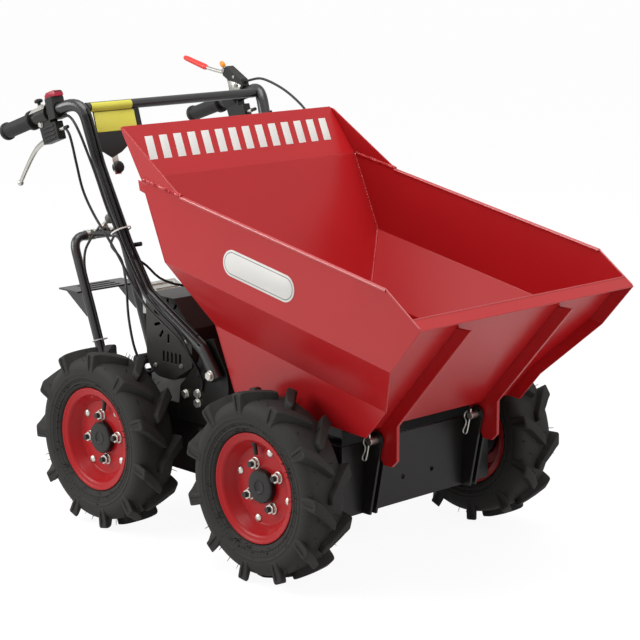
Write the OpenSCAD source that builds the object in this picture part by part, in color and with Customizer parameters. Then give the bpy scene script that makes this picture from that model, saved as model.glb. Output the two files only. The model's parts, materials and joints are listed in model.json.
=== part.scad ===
// Walk-behind site dumper with four driven wheels and a forward-tipping skip, in millimetres.
// The origin is on the ground under the middle of its length, +X is forward and +Z is up.

/* [Wheels] */
// Distance between the front and rear axles
wheelbase = 531; // [500:1:600]
// Distance between the middles of the left and right tyres
track = 641; // [630:1:700]
// Outside diameter over the tyre lugs
tyre_od = 403; // [390:1:420]
// Width of a tyre over its lugs
tyre_w = 108; // [96:1:116]
// Number of lugs on each half of a tread
lugs = 11; // [9:1:13]
// Height of the lugs over the tread
lug_h = 15; // [10:1:18]
// Outside diameter of the rim flanges
rim_d = 232; // [226:1:240]
// Width of the rim over its flanges
rim_w = 82; // [76:1:88]
// Diameter of the seats that carry the tyre beads
seat_d = 203; // [196:1:208]
// Depth of the wheel disc behind the outer flange
disc_set = 32; // [26:1:36]
// Thickness of the rim and disc sheet
rim_sheet = 4; // [3:0.5:5]
// Diameter of the hub boss that shows in the disc
boss_d = 70; // [60:1:76]
// Diameter of the hub flange behind the disc
hub_flange_d = 124; // [116:1:130]
// Diameter of the wheel shafts
shaft_d = 25; // [20:1:30]

/* [Skip] */
// Width across the upper sides
skip_w = 644; // [620:1:660]
// Room between a tyre and the skip's lower side
skip_room = 30.5; // [25:0.5:36]
// Thickness of the skip's sheet
sheet = 3; // [2:0.5:4]
// Distance of the floor's front edge ahead of the hinge pins
floor_reach = 43; // [34:1:57]
// Height of the floor's front edge
floor_front_z = 323; // [320:1:335]
// Length of the floor
floor_len = 397; // [380:1:410]
// Fall of the floor towards the front, in degrees
floor_tilt = 3.2; // [2:0.1:5]
// Lean of the front plate from upright, in degrees
front_lean = 40.5; // [38:0.5:44]
// Lean of the rear plate from upright, in degrees
rear_lean = 23.9; // [20:0.1:27]
// Fall of the long edges towards the front, in degrees
edge_tilt = 10.7; // [9:0.1:12]
// Distance up the front edge from the floor to the lower crease
crease_at = 85; // [75:1:95]
// Distance up the front edge from the floor to the upper crease
chine_at = 230; // [215:1:245]
// Distance up the front edge from the floor to the tip
tip_at = 352; // [340:1:365]
// Length of the slanted front corner of a side
corner_len = 114; // [100:1:125]
// Fall of the slanted front corner, in degrees
corner_tilt = 35.4; // [32:0.1:38]
// Width of the lip along the front plate
lip_w = 28; // [24:1:34]
// Height of the guard over the rear plate, along its lean
guard_h = 129; // [110:1:150]
// Lean of the guard from upright, in degrees
guard_lean = 36.8; // [30:0.1:42]
// Distance along the side's top edge that a wing covers
wing_len = 138; // [110:1:160]
// Inward lean of the wings, in degrees
wing_lean = 4; // [0:0.5:6]
// Distance of a rib from the middle
rib_y = 153; // [140:1:165]
// Thickness of a rib and its hinge tab
rib_t = 8; // [6:0.5:10]
// Distance up the front edge from the floor to a rib's top
rib_top_at = 315; // [300:1:325]

/* [Hinge] */
// Distance of the hinge pins ahead of the front plate
pin_reach = 43; // [40:1:47]
// Height of the hinge pins
pin_z = 298; // [294:1:301]
// Diameter of the hinge pins
pin_d = 16; // [12:1:18]
// Radius of the bracket eyes around the pins
eye_r = 18; // [15:0.5:19]
// Thickness of a hinge bracket
bracket_t = 6; // [5:0.5:8]
// Side gap between a hinge tab and its brackets
tab_gap = 1.5; // [1:0.5:2.5]

/* [Chassis] */
// Room between a tyre and a side plate
wheel_room = 41.5; // [36:0.5:48]
// Thickness of the chassis plates
plate_t = 6; // [5:0.5:8]
// Height of the chassis plates' lower edge
chassis_low = 134; // [120:1:145]
// Height of the chassis plates' upper edge
chassis_top = 286; // [280:1:292]
// Distance of the chassis tail behind the rear axle
chassis_tail = 175; // [168:1:185]
// Distance of the front plate ahead of the front axle
front_reach = 114; // [109:1:117]
// Spacing of the two holes in the front plate
hole_spacing = 88; // [70:1:110]
// Height of the holes in the front plate
hole_z = 189; // [170:1:205]
// Diameter of the holes in the front plate
hole_d = 11; // [8:0.5:14]
// Diameter of the axle housings
housing_d = 60; // [52:1:66]
// Height of the engine bed's top
bed_top = 242; // [238:1:246]

/* [Handlebar] */
// Diameter of the handlebar tubes
bar_d = 28; // [24:1:30]
// Diameter of the crossbar
cross_d = 22; // [18:1:25]
// Distance of a grip from the middle
grip_y = 283; // [270:1:295]
// Height of the grips' rear ends
grip_z = 849; // [820:1:880]
// Distance of the grips' rear ends behind the rear axle
grip_back = 404; // [380:1:420]
// Rise of the grips towards the front, in degrees
grip_rise = 18.3; // [15:0.1:22]
// Length of a grip
grip_len = 115; // [100:1:122]
// Bend radius of the handlebar's shoulder
shoulder_r = 45; // [35:1:55]

/* [Rear guard] */
// Diameter of the guard loop's tube
loop_d = 22; // [18:1:26]
// Distance of the loop's right leg inside the side plate
loop_inset = 19; // [15:1:29]
// Distance of the loop's left leg from the middle
loop_left = 55; // [45:1:65]
// Height of the loop's top bar
loop_top = 605; // [580:1:630]
// Distance of the loop's top bar behind the rear axle
loop_back = 275; // [260:1:290]
// Distance of the loop's feet behind the rear axle
loop_foot = 135; // [125:1:140]
// Depth of the shelf behind the loop
shelf_depth = 70; // [55:1:80]
// Height of the shelf's top
shelf_z = 483; // [470:1:500]

/* [Engine] */
// Distance of the engine's crank axis ahead of the rear axle
crank_x = 10; // [0:1:14]
// Height of the crank axis over the engine bed
crank_h = 105; // [100:1:110]
// Width of the crankcase along the crank
case_w = 210; // [200:1:214]
// Distance that the belt cover stands out past the side plate
cover_proud = 3; // [1:0.5:4]
// Thickness of the belt cover's sheet
cover_t = 3; // [2:0.5:4]

/* [Hidden] */
$fn = 48;
LEFT = 1;
RIGHT = -1;

// Clearances
seat_gap = 0.3;
run_gap = 0.05;
move_gap = 5;
over = 1;

// Plane geometry in the XZ plane, where a point is [x, z]
function from_upright(a) = [sin(a), cos(a)];
function falling(a) = [cos(a), -sin(a)];
function cross2(u, v) = u[0] * v[1] - u[1] * v[0];
function meet(p, u, q, v) = p + u * cross2(q - p, v) / cross2(u, v);
function raised(p) = [p[0], 0, p[1]];

// Widths and lengths that follow the wheels
chassis_w = track - tyre_w - 2 * wheel_room;
floor_w = track - tyre_w - 2 * skip_room;
plate_out = chassis_w / 2;
plate_in = plate_out - plate_t;
cover_y = plate_out + cover_proud;
loop_right = plate_in - loop_inset;
front_plate_x = wheelbase + front_reach;
pin_x = front_plate_x + pin_reach;
floor_front_x = pin_x + floor_reach;

// Wheels
axle_z = tyre_od / 2;
bead_r = seat_d / 2;
flange_t = 5;
well_r = bead_r - 12;
well_half = 10;
slope_half = 30;
disc_face = rim_w / 2 - disc_set;
hub_back = disc_face - rim_sheet - seat_gap;
hub_flange_t = 10;
boss_out = 16;
barrel_d = 56;
housing_end = chassis_w / 2 + 20;
hub_gap = move_gap + 0.5;
shaft_in = 80;

// Tyre carcass and lugs
wall_half = tyre_w / 2 - 2;
section_mid = (axle_z - lug_h + seat_d / 2) / 2;
section_half = (axle_z - lug_h - seat_d / 2) / 2;
front_phase = 23;
rear_phase = 4;
lug_lean = 50;
lug_root = 26;
lug_draft = 4;
// A lug's stations from the middle of the tread to the sidewall, each with its depth under the lug tops,
// its distance outwards, its share of the lean and its half width
lug_stations = [
  [1, -5, 1, 9], [0, 16, 0.6, 12.5], [0, 28, 0.36, 13], [0.5, 39, 0.15, 13], [4.5, wall_half + 1.3, -0.03, 13],
  [23.5, wall_half + 1.9, -0.06, 12.4], [47, wall_half - 1.5, -0.07, 10]];

// Skip, outer faces
front_dir = from_upright(front_lean);
rear_dir = from_upright(-rear_lean);
edge_dir = falling(edge_tilt);
floor_dir = falling(floor_tilt);
corner_dir = falling(corner_tilt);
front_in = [-front_dir[1], front_dir[0]];
rear_in = [rear_dir[1], -rear_dir[0]];
front_foot = [floor_front_x, floor_front_z];
rear_foot = front_foot - floor_len * floor_dir;
tip = front_foot + tip_at * front_dir;
corner = tip - corner_len * corner_dir;
lip_back = tip - lip_w * corner_dir;
rear_top = meet(rear_foot, rear_dir, corner, edge_dir);
chine = front_foot + chine_at * front_dir;
crease = front_foot + crease_at * front_dir;
edge_up = [sin(edge_tilt), cos(edge_tilt)];
crease_drop = (chine - crease) * edge_up;
side_low = 240;
side_high = 330;
side_back = 900;
side_fwd = 200;
half_w = skip_w / 2;
half_floor = floor_w / 2;
fold = tan(atan((half_w - half_floor) / crease_drop) / 2);
guard_top = rear_top + guard_h * from_upright(-guard_lean);
guard_in = [cos(guard_lean), sin(guard_lean)];
wing_front = rear_top + wing_len * edge_dir;
wing_cap = 14;
plate_depth = (lip_back - tip) * front_in;
plate_foot = front_foot + plate_depth * front_in;
plate_low = meet(plate_foot, front_dir, front_foot, floor_dir);
rib_top = front_foot + rib_top_at * front_dir;

// Hinge tabs
tab_front = pin_x + 53;
tab_low = pin_z - 52;
tab_back_r = 27;
tab_chamfer = 15;
tab_reach = norm([tab_front - pin_x, pin_z - tab_low]);
slot_half = rib_t / 2 + move_gap;
bracket_in = rib_t / 2 + tab_gap;
bracket_foot = 21;
bracket_waist = [pin_x + 6, pin_z - 51];
front_face_x = front_plate_x + plate_t;
pin_len = 44;
pin_head_d = 24;
pin_head_t = 5;

// Chassis
rest_x = 345;
rest_w = 40;
rest_pad_y = plate_in - 69;
bed_front = 330;
gear_half_w = 92;
gear_rear = -70;
gear_front = 110;
gear_low = 120;
diff_half = 55;
drive_d = 28;
axle_flange_d = 90;
axle_flange_t = 8;

// Handlebar
bar_r = bar_d / 2;
foot_plate_t = 8;
foot_face = plate_out + foot_plate_t;
bar_foot_y = foot_face + bar_r + seat_gap;
bar_foot_x = rear_foot[0] - 42.6;
bar_mid_y = 257;
grip_dir = [cos(grip_rise), sin(grip_rise)];
grip_end = [-grip_back, grip_z];
bar_neck = [-91, 796];
bar_drop = unit([40, -126]);
shoulder = meet(grip_end, grip_dir, bar_neck, bar_drop);
shoulder_y = 268;
straight_len = 226;
bar_straight = grip_end + straight_len * grip_dir;
bar_route = [
  [grip_end[0], grip_y, grip_end[1]], [bar_straight[0], grip_y, bar_straight[1]],
  [shoulder[0], shoulder_y, shoulder[1]],
  [bar_neck[0], bar_mid_y, bar_neck[1]], [0, bar_mid_y, 634], [76, bar_mid_y, 528],
  [bar_foot_x - 46, bar_foot_y, 430], [bar_foot_x, bar_foot_y, 370]
];
bar_radii = [60, shoulder_r, 120, 120, 60, 30];
cross_trim = 1.4;
cross_at = shoulder - 12 * bar_drop - 12 * grip_dir + [8, -24];
cross_half = shoulder_y - bar_r - cross_trim;

// Rear guard
loop_lean = unit([loop_foot - loop_back, 0, loop_top - bed_top]);
loop_normal = [loop_lean[2], 0, -loop_lean[0]];
loop_bend = 35;
shelf_t = 4;
shelf_in = loop_x(shelf_z - shelf_t / 2) - loop_d / 2 / loop_lean[2] - seat_gap;
cheek_h = 55;
cheek_t = 4;
function loop_x(z) = -loop_foot + (z - bed_top) * loop_lean[0] / loop_lean[2];

// Engine
crank_z = bed_top + crank_h;
case_right = -case_w / 2 - 15;
case_left = case_right + case_w;
case_mid = (case_left + case_right) / 2;
case_rear = crank_x - 100;
case_front = crank_x + 90;
case_top = crank_z + 53;
head_lean = 25;
head_right = -35;
head_left = 65;

// Belt cover
cover_rear = 28;
cover_front = 185;
cover_high = 520;
cover_low = 335;
cover_r = 52;
cover_slope_x = 120;
cover_rise = 39;
cover_cut = 60;

// Overall reach, which sets the origin
lever_tip = [-431, grip_y, 988];
lever_ball = 6;
mid_x = (tip[0] + lever_tip[0] - lever_ball) / 2;

// Paths and tubes
function unit(v) = v / norm(v);
function mirrored(p) = [for (q = p) [q[0], -q[1], q[2]]];
function arc_at(a, b, c, r, steps) =
  let (u = unit(a - b), v = unit(c - b), d = r / tan(acos(u * v) / 2))
  [for (k = [0:steps]) let (s = k / steps)
    (1 - s) * (1 - s) * (b + d * u) + 2 * s * (1 - s) * b + s * s * (b + d * v)];
function bent(p, radii, steps = 4) = concat(
  [p[0]],
  [for (i = [1:len(p) - 2]) each arc_at(p[i - 1], p[i], p[i + 1], radii[i - 1], steps)],
  [p[len(p) - 1]]);
function along(a, b, c, d, s) = 0.5 * (2 * b + (c - a) * s + (2 * a - 5 * b + 4 * c - d) * s * s
  + (3 * b - a - 3 * c + d) * s * s * s);
function flowing(p, steps = 3) = let (n = len(p) - 1) concat(
  [for (i = [0:n - 1]) for (k = [0:steps - 1])
    along(p[max(i - 1, 0)], p[i], p[i + 1], p[min(i + 2, n)], k / steps)],
  [p[n]]);
function heading(p, i) = unit(p[min(i + 1, len(p) - 1)] - p[max(i - 1, 0)]);

// A round bar along a path; no stretch of the path may run along the side vector
module swept(path, r, side = [0, 1, 0], sides = 12) {
  n = len(path);
  points = [for (i = [0:n - 1])
    let (t = heading(path, i), a = unit(cross(t, side)), b = cross(t, a))
    for (k = [0:sides - 1]) path[i] + r * (cos(360 * k / sides) * a + sin(360 * k / sides) * b)];
  walls = [for (i = [0:n - 2]) for (k = [0:sides - 1])
    let (p = i * sides + k, q = i * sides + (k + 1) % sides)
    each [[p, p + sides, q + sides], [p, q + sides, q]]];
  start = [for (k = [0:sides - 1]) k];
  end = [for (k = [sides - 1:-1:0]) (n - 1) * sides + k];
  polyhedron(points, concat([start, end], walls));
}

// An outline in the XZ plane, from one Y to another
module upright(outline, y0, y1) {
  translate([0, y1, 0]) rotate([90, 0, 0]) linear_extrude(y1 - y0) polygon(outline);
}

// A cylinder along Y
module cross_rod(x, z, d, y0, y1) {
  translate([x, y1, z]) rotate([90, 0, 0]) cylinder(d = d, h = y1 - y0);
}

module both_sides() {
  children();
  mirror([0, 1, 0]) children();
}

module place() {
  translate([-mid_x, 0, 0]) children();
}

// Places a wheel piece, whose own +Z points out of the machine
module at_wheel(x, side) {
  place() translate([x, side * track / 2, axle_z]) rotate([-90 * side, 0, 0]) children();
}

// Half of the rim's section, set in by t from its outer face, as [radius, distance outwards]
function rim_half(t) = [
  [rim_d / 2 - t, rim_w / 2], [bead_r - t, rim_w / 2 - flange_t], [bead_r - t, slope_half],
  [well_r - t, well_half]];
function turned_over(p) = [for (i = [len(p) - 1:-1:0]) [p[i][0], -p[i][1]]];
function backwards(p) = [for (i = [len(p) - 1:-1:0]) p[i]];

// One lug as a block swept through its stations; face is 1 on the outer half of the tread and -1 on the inner
module lug(side, face) {
  n = len(lug_stations);
  per_mm = 180 / PI / axle_z;
  points = [for (s = lug_stations)
    let (top = [axle_z - s[0], s[1]], root = top + lug_root * unit([section_mid, 0] - top))
    for (p = [[root, -s[3] - lug_draft], [top, -s[3]], [top, s[3]], [root, s[3] + lug_draft]])
      let (a = side * ((s[2] * lug_lean + p[1]) * per_mm - 90))
      [p[0][0] * cos(a), p[0][0] * sin(a), face * p[0][1]]];
  walls = [for (i = [0:n - 2]) for (k = [0:3])
    let (p = 4 * i + k, q = 4 * i + (k + 1) % 4)
    each [[p, p + 4, q + 4], [p, q + 4, q]]];
  last = 4 * n - 4;
  faces = concat([[0, 1, 2, 3], [last + 3, last + 2, last + 1, last]], walls);
  polyhedron(points, [for (f = faces) side * face > 0 ? f : backwards(f)]);
}

// A carcass of round section with lugs on both halves; phase turns the lugs forward from the top
module tyre(side, phase) {
  power = 2 / 3;
  steps = 24;
  pitch = 360 / lugs;
  color([0.16, 0.16, 0.15]) {
    rotate_extrude($fn = 96) difference() {
      polygon([for (k = [0:steps - 1]) let (a = 360 * k / steps)
        [section_mid + section_half * sign(cos(a)) * pow(abs(cos(a)), power),
         wall_half * sign(sin(a)) * pow(abs(sin(a)), power)]]);
      translate([0, -tyre_w]) square([bead_r + seat_gap, 2 * tyre_w]);
      for (s = [-1, 1])
        translate([0, s > 0 ? rim_w / 2 - flange_t - seat_gap : -tyre_w])
          square([rim_d / 2 + seat_gap, tyre_w - rim_w / 2 + flange_t + seat_gap]);
    }
    for (k = [0:lugs - 1], face = [1, -1])
      rotate([0, 0, side * (phase + (k + (face < 0 ? 0.5 : 0)) * pitch)]) lug(side, face);
  }
}

module rim() {
  flange = [[rim_d / 2, rim_w / 2], [rim_d / 2, rim_w / 2 - flange_t]];
  outer_half = concat(flange, [for (i = [1:3]) rim_half(0)[i]]);
  outer = concat(outer_half, turned_over(outer_half));
  inner = concat(rim_half(rim_sheet), turned_over(rim_half(rim_sheet)));
  color([0.72, 0.1, 0.12]) {
    rotate_extrude($fn = 96) polygon(concat(outer, backwards(inner)));
    translate([0, 0, disc_face - rim_sheet]) difference() {
      cylinder(r = well_r - rim_sheet / 2, h = rim_sheet);
      translate([0, 0, -over]) cylinder(d = boss_d + 2 * seat_gap, h = rim_sheet + 2 * over);
    }
  }
}

module hub() {
  barrel_end = -(track / 2 - housing_end - hub_gap);
  shaft_end = -(track / 2 - housing_end) - shaft_in;
  color([0.13, 0.13, 0.13]) {
    translate([0, 0, hub_back - hub_flange_t]) cylinder(d = hub_flange_d, h = hub_flange_t);
    translate([0, 0, hub_back - over]) cylinder(d = boss_d, h = disc_face - hub_back + boss_out + over);
    translate([0, 0, barrel_end]) cylinder(d = barrel_d, h = hub_back - barrel_end);
    translate([0, 0, shaft_end]) cylinder(d = shaft_d, h = hub_back - shaft_end);
  }
}

// Half of the skip's cross-section, inset by t, as [y, height over the upper crease]
function skip_half(t, high) = [
  [half_w - t, high], [half_w - t, t * fold],
  [half_floor - t, t * fold - crease_drop], [half_floor - t, -crease_drop - side_low]];

// The long prism of a cross-section outline, lying along the fall of the skip's edges
module along_skip(outline) {
  translate(raised(chine)) rotate([0, edge_tilt, 0]) translate([-side_back, 0, 0])
    rotate([90, 0, 90]) linear_extrude(side_back + side_fwd) polygon(outline);
}

module skip_inside(t) {
  right = skip_half(t, side_high);
  along_skip(concat(right, [for (i = [len(right) - 1:-1:0]) [-right[i][0], right[i][1]]]));
}

module skip_side() {
  outer = skip_half(0, side_high);
  inner = skip_half(sheet, side_high);
  rear_low = meet(rear_foot + sheet * rear_in, rear_dir, front_foot, floor_dir);
  rear_high = meet(rear_low, rear_dir, corner, edge_dir);
  color([0.72, 0.1, 0.12]) place() intersection() {
    along_skip(concat(outer, backwards(inner)));
    upright([rear_low, front_foot, tip, corner, rear_high], 0, skip_w);
  }
}

module skip_side_left() { skip_side(); }
module skip_side_right() { mirror([0, 1, 0]) skip_side(); }

module skip_rear() {
  low_in = meet(rear_foot + sheet * rear_in, rear_dir, front_foot, floor_dir);
  fold_in = meet(low_in, rear_dir, guard_top + sheet * guard_in, guard_top - rear_top);
  top_half = half_w - sheet - guard_h * cos(guard_lean) * tan(wing_lean);
  color([0.72, 0.1, 0.12]) place() intersection() {
    upright([rear_foot, low_in, fold_in, guard_top + sheet * guard_in, guard_top, rear_top], -skip_w, skip_w);
    union() {
      intersection() {
        skip_inside(0);
        upright([rear_foot + [-skip_w, -skip_w], rear_foot + [skip_w, -skip_w],
          rear_top + [skip_w, -sheet], rear_top + [-skip_w, -sheet]], -skip_w, skip_w);
      }
      translate([-skip_w, 0, 0]) rotate([90, 0, 90]) linear_extrude(2 * skip_w)
        polygon([[-half_w + sheet, rear_top[1] - 2 * sheet], [half_w - sheet, rear_top[1] - 2 * sheet],
          [half_w - sheet, rear_top[1]], [top_half, guard_top[1]], [top_half, guard_top[1] + sheet],
          [-top_half, guard_top[1] + sheet], [-top_half, guard_top[1]], [-half_w + sheet, rear_top[1]]]);
    }
  }
}

module skip_wing() {
  translate([0, half_w, rear_top[1]]) rotate([wing_lean, 0, 0]) translate([0, -half_w, -rear_top[1]])
    upright([rear_top + seat_gap * edge_up, wing_front + seat_gap * edge_up, guard_top + wing_cap * edge_dir,
      guard_top], half_w - sheet, half_w);
}

module skip_wings() {
  color([0.72, 0.1, 0.12]) place() both_sides() skip_wing();
}

module skip_front() {
  in_low = plate_low + sheet * front_in;
  low_in = meet(in_low, front_dir, front_foot, floor_dir);
  under = sheet * [-sin(corner_tilt), -cos(corner_tilt)];
  color([0.72, 0.1, 0.12]) place() intersection() {
    upright([plate_low, meet(plate_low, front_dir, tip + under, corner_dir), tip + under, tip,
      meet(low_in, front_dir, tip, corner_dir), low_in], -skip_w, skip_w);
    skip_inside(sheet);
  }
}

module skip_floor() {
  up = sheet * [sin(floor_tilt), cos(floor_tilt)];
  rear = rear_foot + sheet * rear_in;
  front = plate_low + sheet * front_in;
  color([0.72, 0.1, 0.12]) place()
    upright([meet(rear, rear_dir, front_foot, floor_dir), meet(front, front_dir, front_foot, floor_dir),
      meet(front, front_dir, front_foot + up, floor_dir), meet(rear, rear_dir, front_foot + up, floor_dir)],
      -half_floor + sheet, half_floor - sheet);
}

// A rib on the front plate that runs down into the hinge tab
module skip_rib() {
  knee = meet(front_foot, front_dir, [tab_front, 0], [0, 1]);
  plate_top = meet(plate_low, front_dir, rib_top, [1, 0]);
  back = [pin_x - tab_back_r, pin_z];
  back_top = meet(back, [0, 1], front_foot, floor_dir);
  difference() {
    union() {
      upright([plate_low, back_top, back, [pin_x, pin_z - tab_back_r], [pin_x + tab_chamfer, tab_low],
        [tab_front - tab_chamfer, tab_low], [tab_front, tab_low + tab_chamfer], knee, rib_top, plate_top],
        rib_y - rib_t / 2, rib_y + rib_t / 2);
      cross_rod(pin_x, pin_z, 2 * tab_back_r - 2 * seat_gap, rib_y - rib_t / 2, rib_y + rib_t / 2);
    }
    cross_rod(pin_x, pin_z, pin_d + 2 * run_gap, rib_y - rib_t, rib_y + rib_t);
  }
}

module skip_ribs() {
  color([0.72, 0.1, 0.12]) place() both_sides() skip_rib();
}

module chassis_sides() {
  tail = -chassis_tail;
  cut = 60;
  color([0.14, 0.14, 0.14]) place() both_sides() difference() {
    upright([[tail, chassis_low + cut], [tail + cut, chassis_low], [front_plate_x, chassis_low],
      [front_plate_x, chassis_top], [tail, chassis_top]], plate_in, plate_out);
    for (x = [0, wheelbase])
      cross_rod(x, axle_z, housing_d + 2 * seat_gap, plate_in - over, plate_out + over);
  }
}

module front_plate() {
  slot_low = pin_z - tab_reach - move_gap;
  color([0.14, 0.14, 0.14]) place() difference() {
    translate([front_plate_x, -plate_out, chassis_low])
      cube([plate_t, chassis_w, chassis_top - chassis_low]);
    for (s = [-1, 1]) {
      translate([front_plate_x - over, s * rib_y - slot_half, slot_low])
        cube([plate_t + 2 * over, 2 * slot_half, chassis_top]);
      translate([front_plate_x - over, s * hole_spacing / 2, hole_z]) rotate([0, 90, 0])
        cylinder(d = hole_d, h = plate_t + 2 * over);
    }
  }
}

module hinge_bracket(y0) {
  difference() {
    union() {
      upright([[front_face_x, chassis_low], [front_face_x + bracket_foot, chassis_low], bracket_waist,
        [pin_x + eye_r, pin_z], [pin_x, pin_z + eye_r - seat_gap], [front_face_x, chassis_top]],
        y0, y0 + bracket_t);
      cross_rod(pin_x, pin_z, 2 * eye_r, y0, y0 + bracket_t);
    }
    cross_rod(pin_x, pin_z, pin_d + 2 * run_gap, y0 - over, y0 + bracket_t + over);
  }
}

module hinge_brackets() {
  color([0.14, 0.14, 0.14]) place() both_sides() {
    hinge_bracket(rib_y + bracket_in);
    hinge_bracket(rib_y - bracket_in - bracket_t);
  }
}

module hinge_pins() {
  head_y = bracket_in + bracket_t;
  color([0.75, 0.75, 0.72]) place() for (side = [LEFT, RIGHT]) translate([0, side * rib_y, 0]) {
    cross_rod(pin_x, pin_z, pin_d, head_y - pin_len, head_y + over);
    cross_rod(pin_x, pin_z, pin_head_d, head_y, head_y + pin_head_t);
  }
}

module skip_rest() {
  pad = 40;
  top = front_foot - seat_gap * [sin(floor_tilt), cos(floor_tilt)];
  color([0.14, 0.14, 0.14]) place() {
    translate([rest_x, -plate_in, chassis_top - rest_w]) cube([rest_w, 2 * plate_in, rest_w]);
    both_sides()
      upright([[rest_x, chassis_top - over], [rest_x + rest_w, chassis_top - over],
        meet([rest_x + rest_w, 0], [0, 1], top, floor_dir), meet([rest_x, 0], [0, 1], top, floor_dir)],
        rest_pad_y - pad / 2, rest_pad_y + pad / 2);
  }
}

module engine_bed() {
  color([0.14, 0.14, 0.14]) place() {
    translate([-chassis_tail, -plate_in, bed_top - plate_t])
      cube([chassis_tail + bed_front, 2 * plate_in, plate_t]);
    translate([-chassis_tail, -plate_in, bed_top - over])
      cube([plate_t, 2 * plate_in, chassis_top - bed_top + over]);
  }
}

// One side of an axle housing, with its flange on the side plate
module axle_half(y0, x) {
  difference() {
    union() {
      cross_rod(x, axle_z, housing_d, y0, housing_end);
      cross_rod(x, axle_z, axle_flange_d, plate_out, plate_out + axle_flange_t);
    }
    cross_rod(x, axle_z, shaft_d + 2 * run_gap, housing_end - shaft_in - move_gap, housing_end + over);
  }
}

module front_axle() {
  color([0.15, 0.15, 0.15]) place() {
    both_sides() axle_half(0, wheelbase);
    translate([wheelbase - diff_half, -diff_half, axle_z - diff_half]) cube(2 * diff_half);
  }
}

module rear_axle() {
  color([0.15, 0.15, 0.15]) place() both_sides() axle_half(gear_half_w, 0);
}

module gearbox() {
  color([0.3, 0.3, 0.3]) place() {
    translate([gear_rear, -gear_half_w, gear_low])
      cube([gear_front - gear_rear, 2 * gear_half_w, bed_top - plate_t - gear_low]);
    translate([gear_front - over, 0, axle_z]) rotate([0, 90, 0])
      cylinder(d = drive_d, h = wheelbase - diff_half - gear_front + over);
  }
}

module engine_block() {
  fins = 8;
  fin_t = 4;
  fin_pitch = 12;
  head_w = head_left - head_right;
  color([0.35, 0.35, 0.35]) place() {
    translate([case_rear, case_right, bed_top]) cube([case_front - case_rear, case_w, case_top - bed_top]);
    translate([crank_x - 50, head_right, case_top - 20]) rotate([0, -head_lean, 0]) {
      translate([-40, 8, -20]) cube([80, head_w - 16, fins * fin_pitch + 30]);
      for (k = [0:fins - 1]) translate([-52, 0, k * fin_pitch]) cube([104, head_w, fin_t]);
    }
  }
}

module fuel_tank() {
  rear = crank_x + 10;
  len = 145;
  round_r = 22;
  half = case_w / 2 - 5;
  height = 100;
  color([0.2, 0.2, 0.2]) place() {
    translate([rear, case_mid, case_top + seat_gap]) linear_extrude(height) {
      translate([0, -half + round_r]) square([len, 2 * (half - round_r)]);
      translate([round_r, -half]) square([len - 2 * round_r, 2 * half]);
      for (x = [round_r, len - round_r], y = [-half + round_r, half - round_r])
        translate([x, y]) circle(round_r);
    }
    translate([rear + len / 2, case_mid, case_top + height]) cylinder(d = 52, h = 18);
  }
}

module muffler() {
  x0 = crank_x - 115;
  low = case_top + 40;
  len = 112;
  width = 95;
  height = 68;
  guard_tilt = 21;
  guard_len = 112;
  slots = 5;
  color([0.7, 0.7, 0.68]) place() translate([x0, head_right - seat_gap - width, low]) {
    difference() {
      cube([len, width, height]);
      translate([-over, -over, height]) rotate([0, guard_tilt, 0])
        cube([2 * len, width + 2 * over, height]);
    }
    translate([0, 0, height]) rotate([0, guard_tilt, 0]) difference() {
      translate([0, 0, -over]) cube([guard_len, width, over + cover_t]);
      for (k = [0:slots - 1]) translate([12 + 20 * k, 14, 0]) cube([9, width - 28, cover_t + over]);
    }
  }
}

module air_cleaner() {
  box = [115, 80, 88];
  knob_d = 34;
  knob_h = 12;
  color([0.12, 0.12, 0.12]) place() translate([crank_x - 150, head_left + seat_gap, case_top + 36]) {
    cube(box);
    translate([box[0] / 2, box[1] / 2, box[2] - over]) cylinder(d = knob_d, h = knob_h + over);
  }
}

module recoil_starter() {
  vents = 12;
  color([0.14, 0.14, 0.14]) place() difference() {
    union() {
      cross_rod(crank_x, crank_z, 166, case_left, case_left + 34);
      cross_rod(crank_x, crank_z, 120, case_left + 34 - over, case_left + 58);
    }
    for (k = [0:vents - 1]) translate([crank_x, case_left + 34, crank_z]) rotate([0, 360 * k / vents, 0])
      translate([30, 12, -5]) cube([22, 20, 10]);
  }
}

// The belt cover's outline, set in by t
function cover_outline(t) = concat(
  [for (a = [180:15:270]) [cover_rear + cover_r, cover_low + cover_r] + (cover_r - t) * [cos(a), sin(a)]],
  [[cover_slope_x, cover_low + t], [cover_front - t, cover_low + cover_rise + t],
   [cover_front - t, cover_high - cover_cut - t * tan(22.5)],
   [cover_front - cover_cut - t * tan(22.5), cover_high - t], [cover_rear + t, cover_high - t]]);

module belt_cover() {
  fan = [cover_rear + 77, cover_high - 53];
  fan_slots = 7;
  fan_step = 36;
  fan_r = 30;
  row_slots = 5;
  row_pitch = 14;
  row_start = cover_rear + 57;
  row_low = cover_low + 38;
  slot_w = 6;
  deep = cover_t + 2 * over;
  color([0.28, 0.27, 0.25]) place() difference() {
    upright(cover_outline(0), -cover_y, case_right - seat_gap);
    upright(cover_outline(cover_t), -cover_y + cover_t, 0);
    for (k = [0:fan_slots - 1])
      translate([fan[0], -cover_y - over, fan[1]]) rotate([0, 90 + k * fan_step, 0])
        translate([fan_r, 0, -slot_w / 2]) cube([20, deep, slot_w]);
    for (k = [0:row_slots - 1])
      translate([row_start + row_pitch * k, -cover_y - over, row_low]) cube([slot_w, deep, 24]);
  }
}

module handlebar_left() {
  color([0.12, 0.12, 0.12]) place() swept(bent(bar_route, bar_radii), bar_r);
}

module handlebar_right() {
  color([0.12, 0.12, 0.12]) place() swept(bent(mirrored(bar_route), bar_radii), bar_r);
}

module crossbar() {
  color([0.12, 0.12, 0.12]) place() cross_rod(cross_at[0], cross_at[1], cross_d, -cross_half, cross_half);
}

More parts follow.
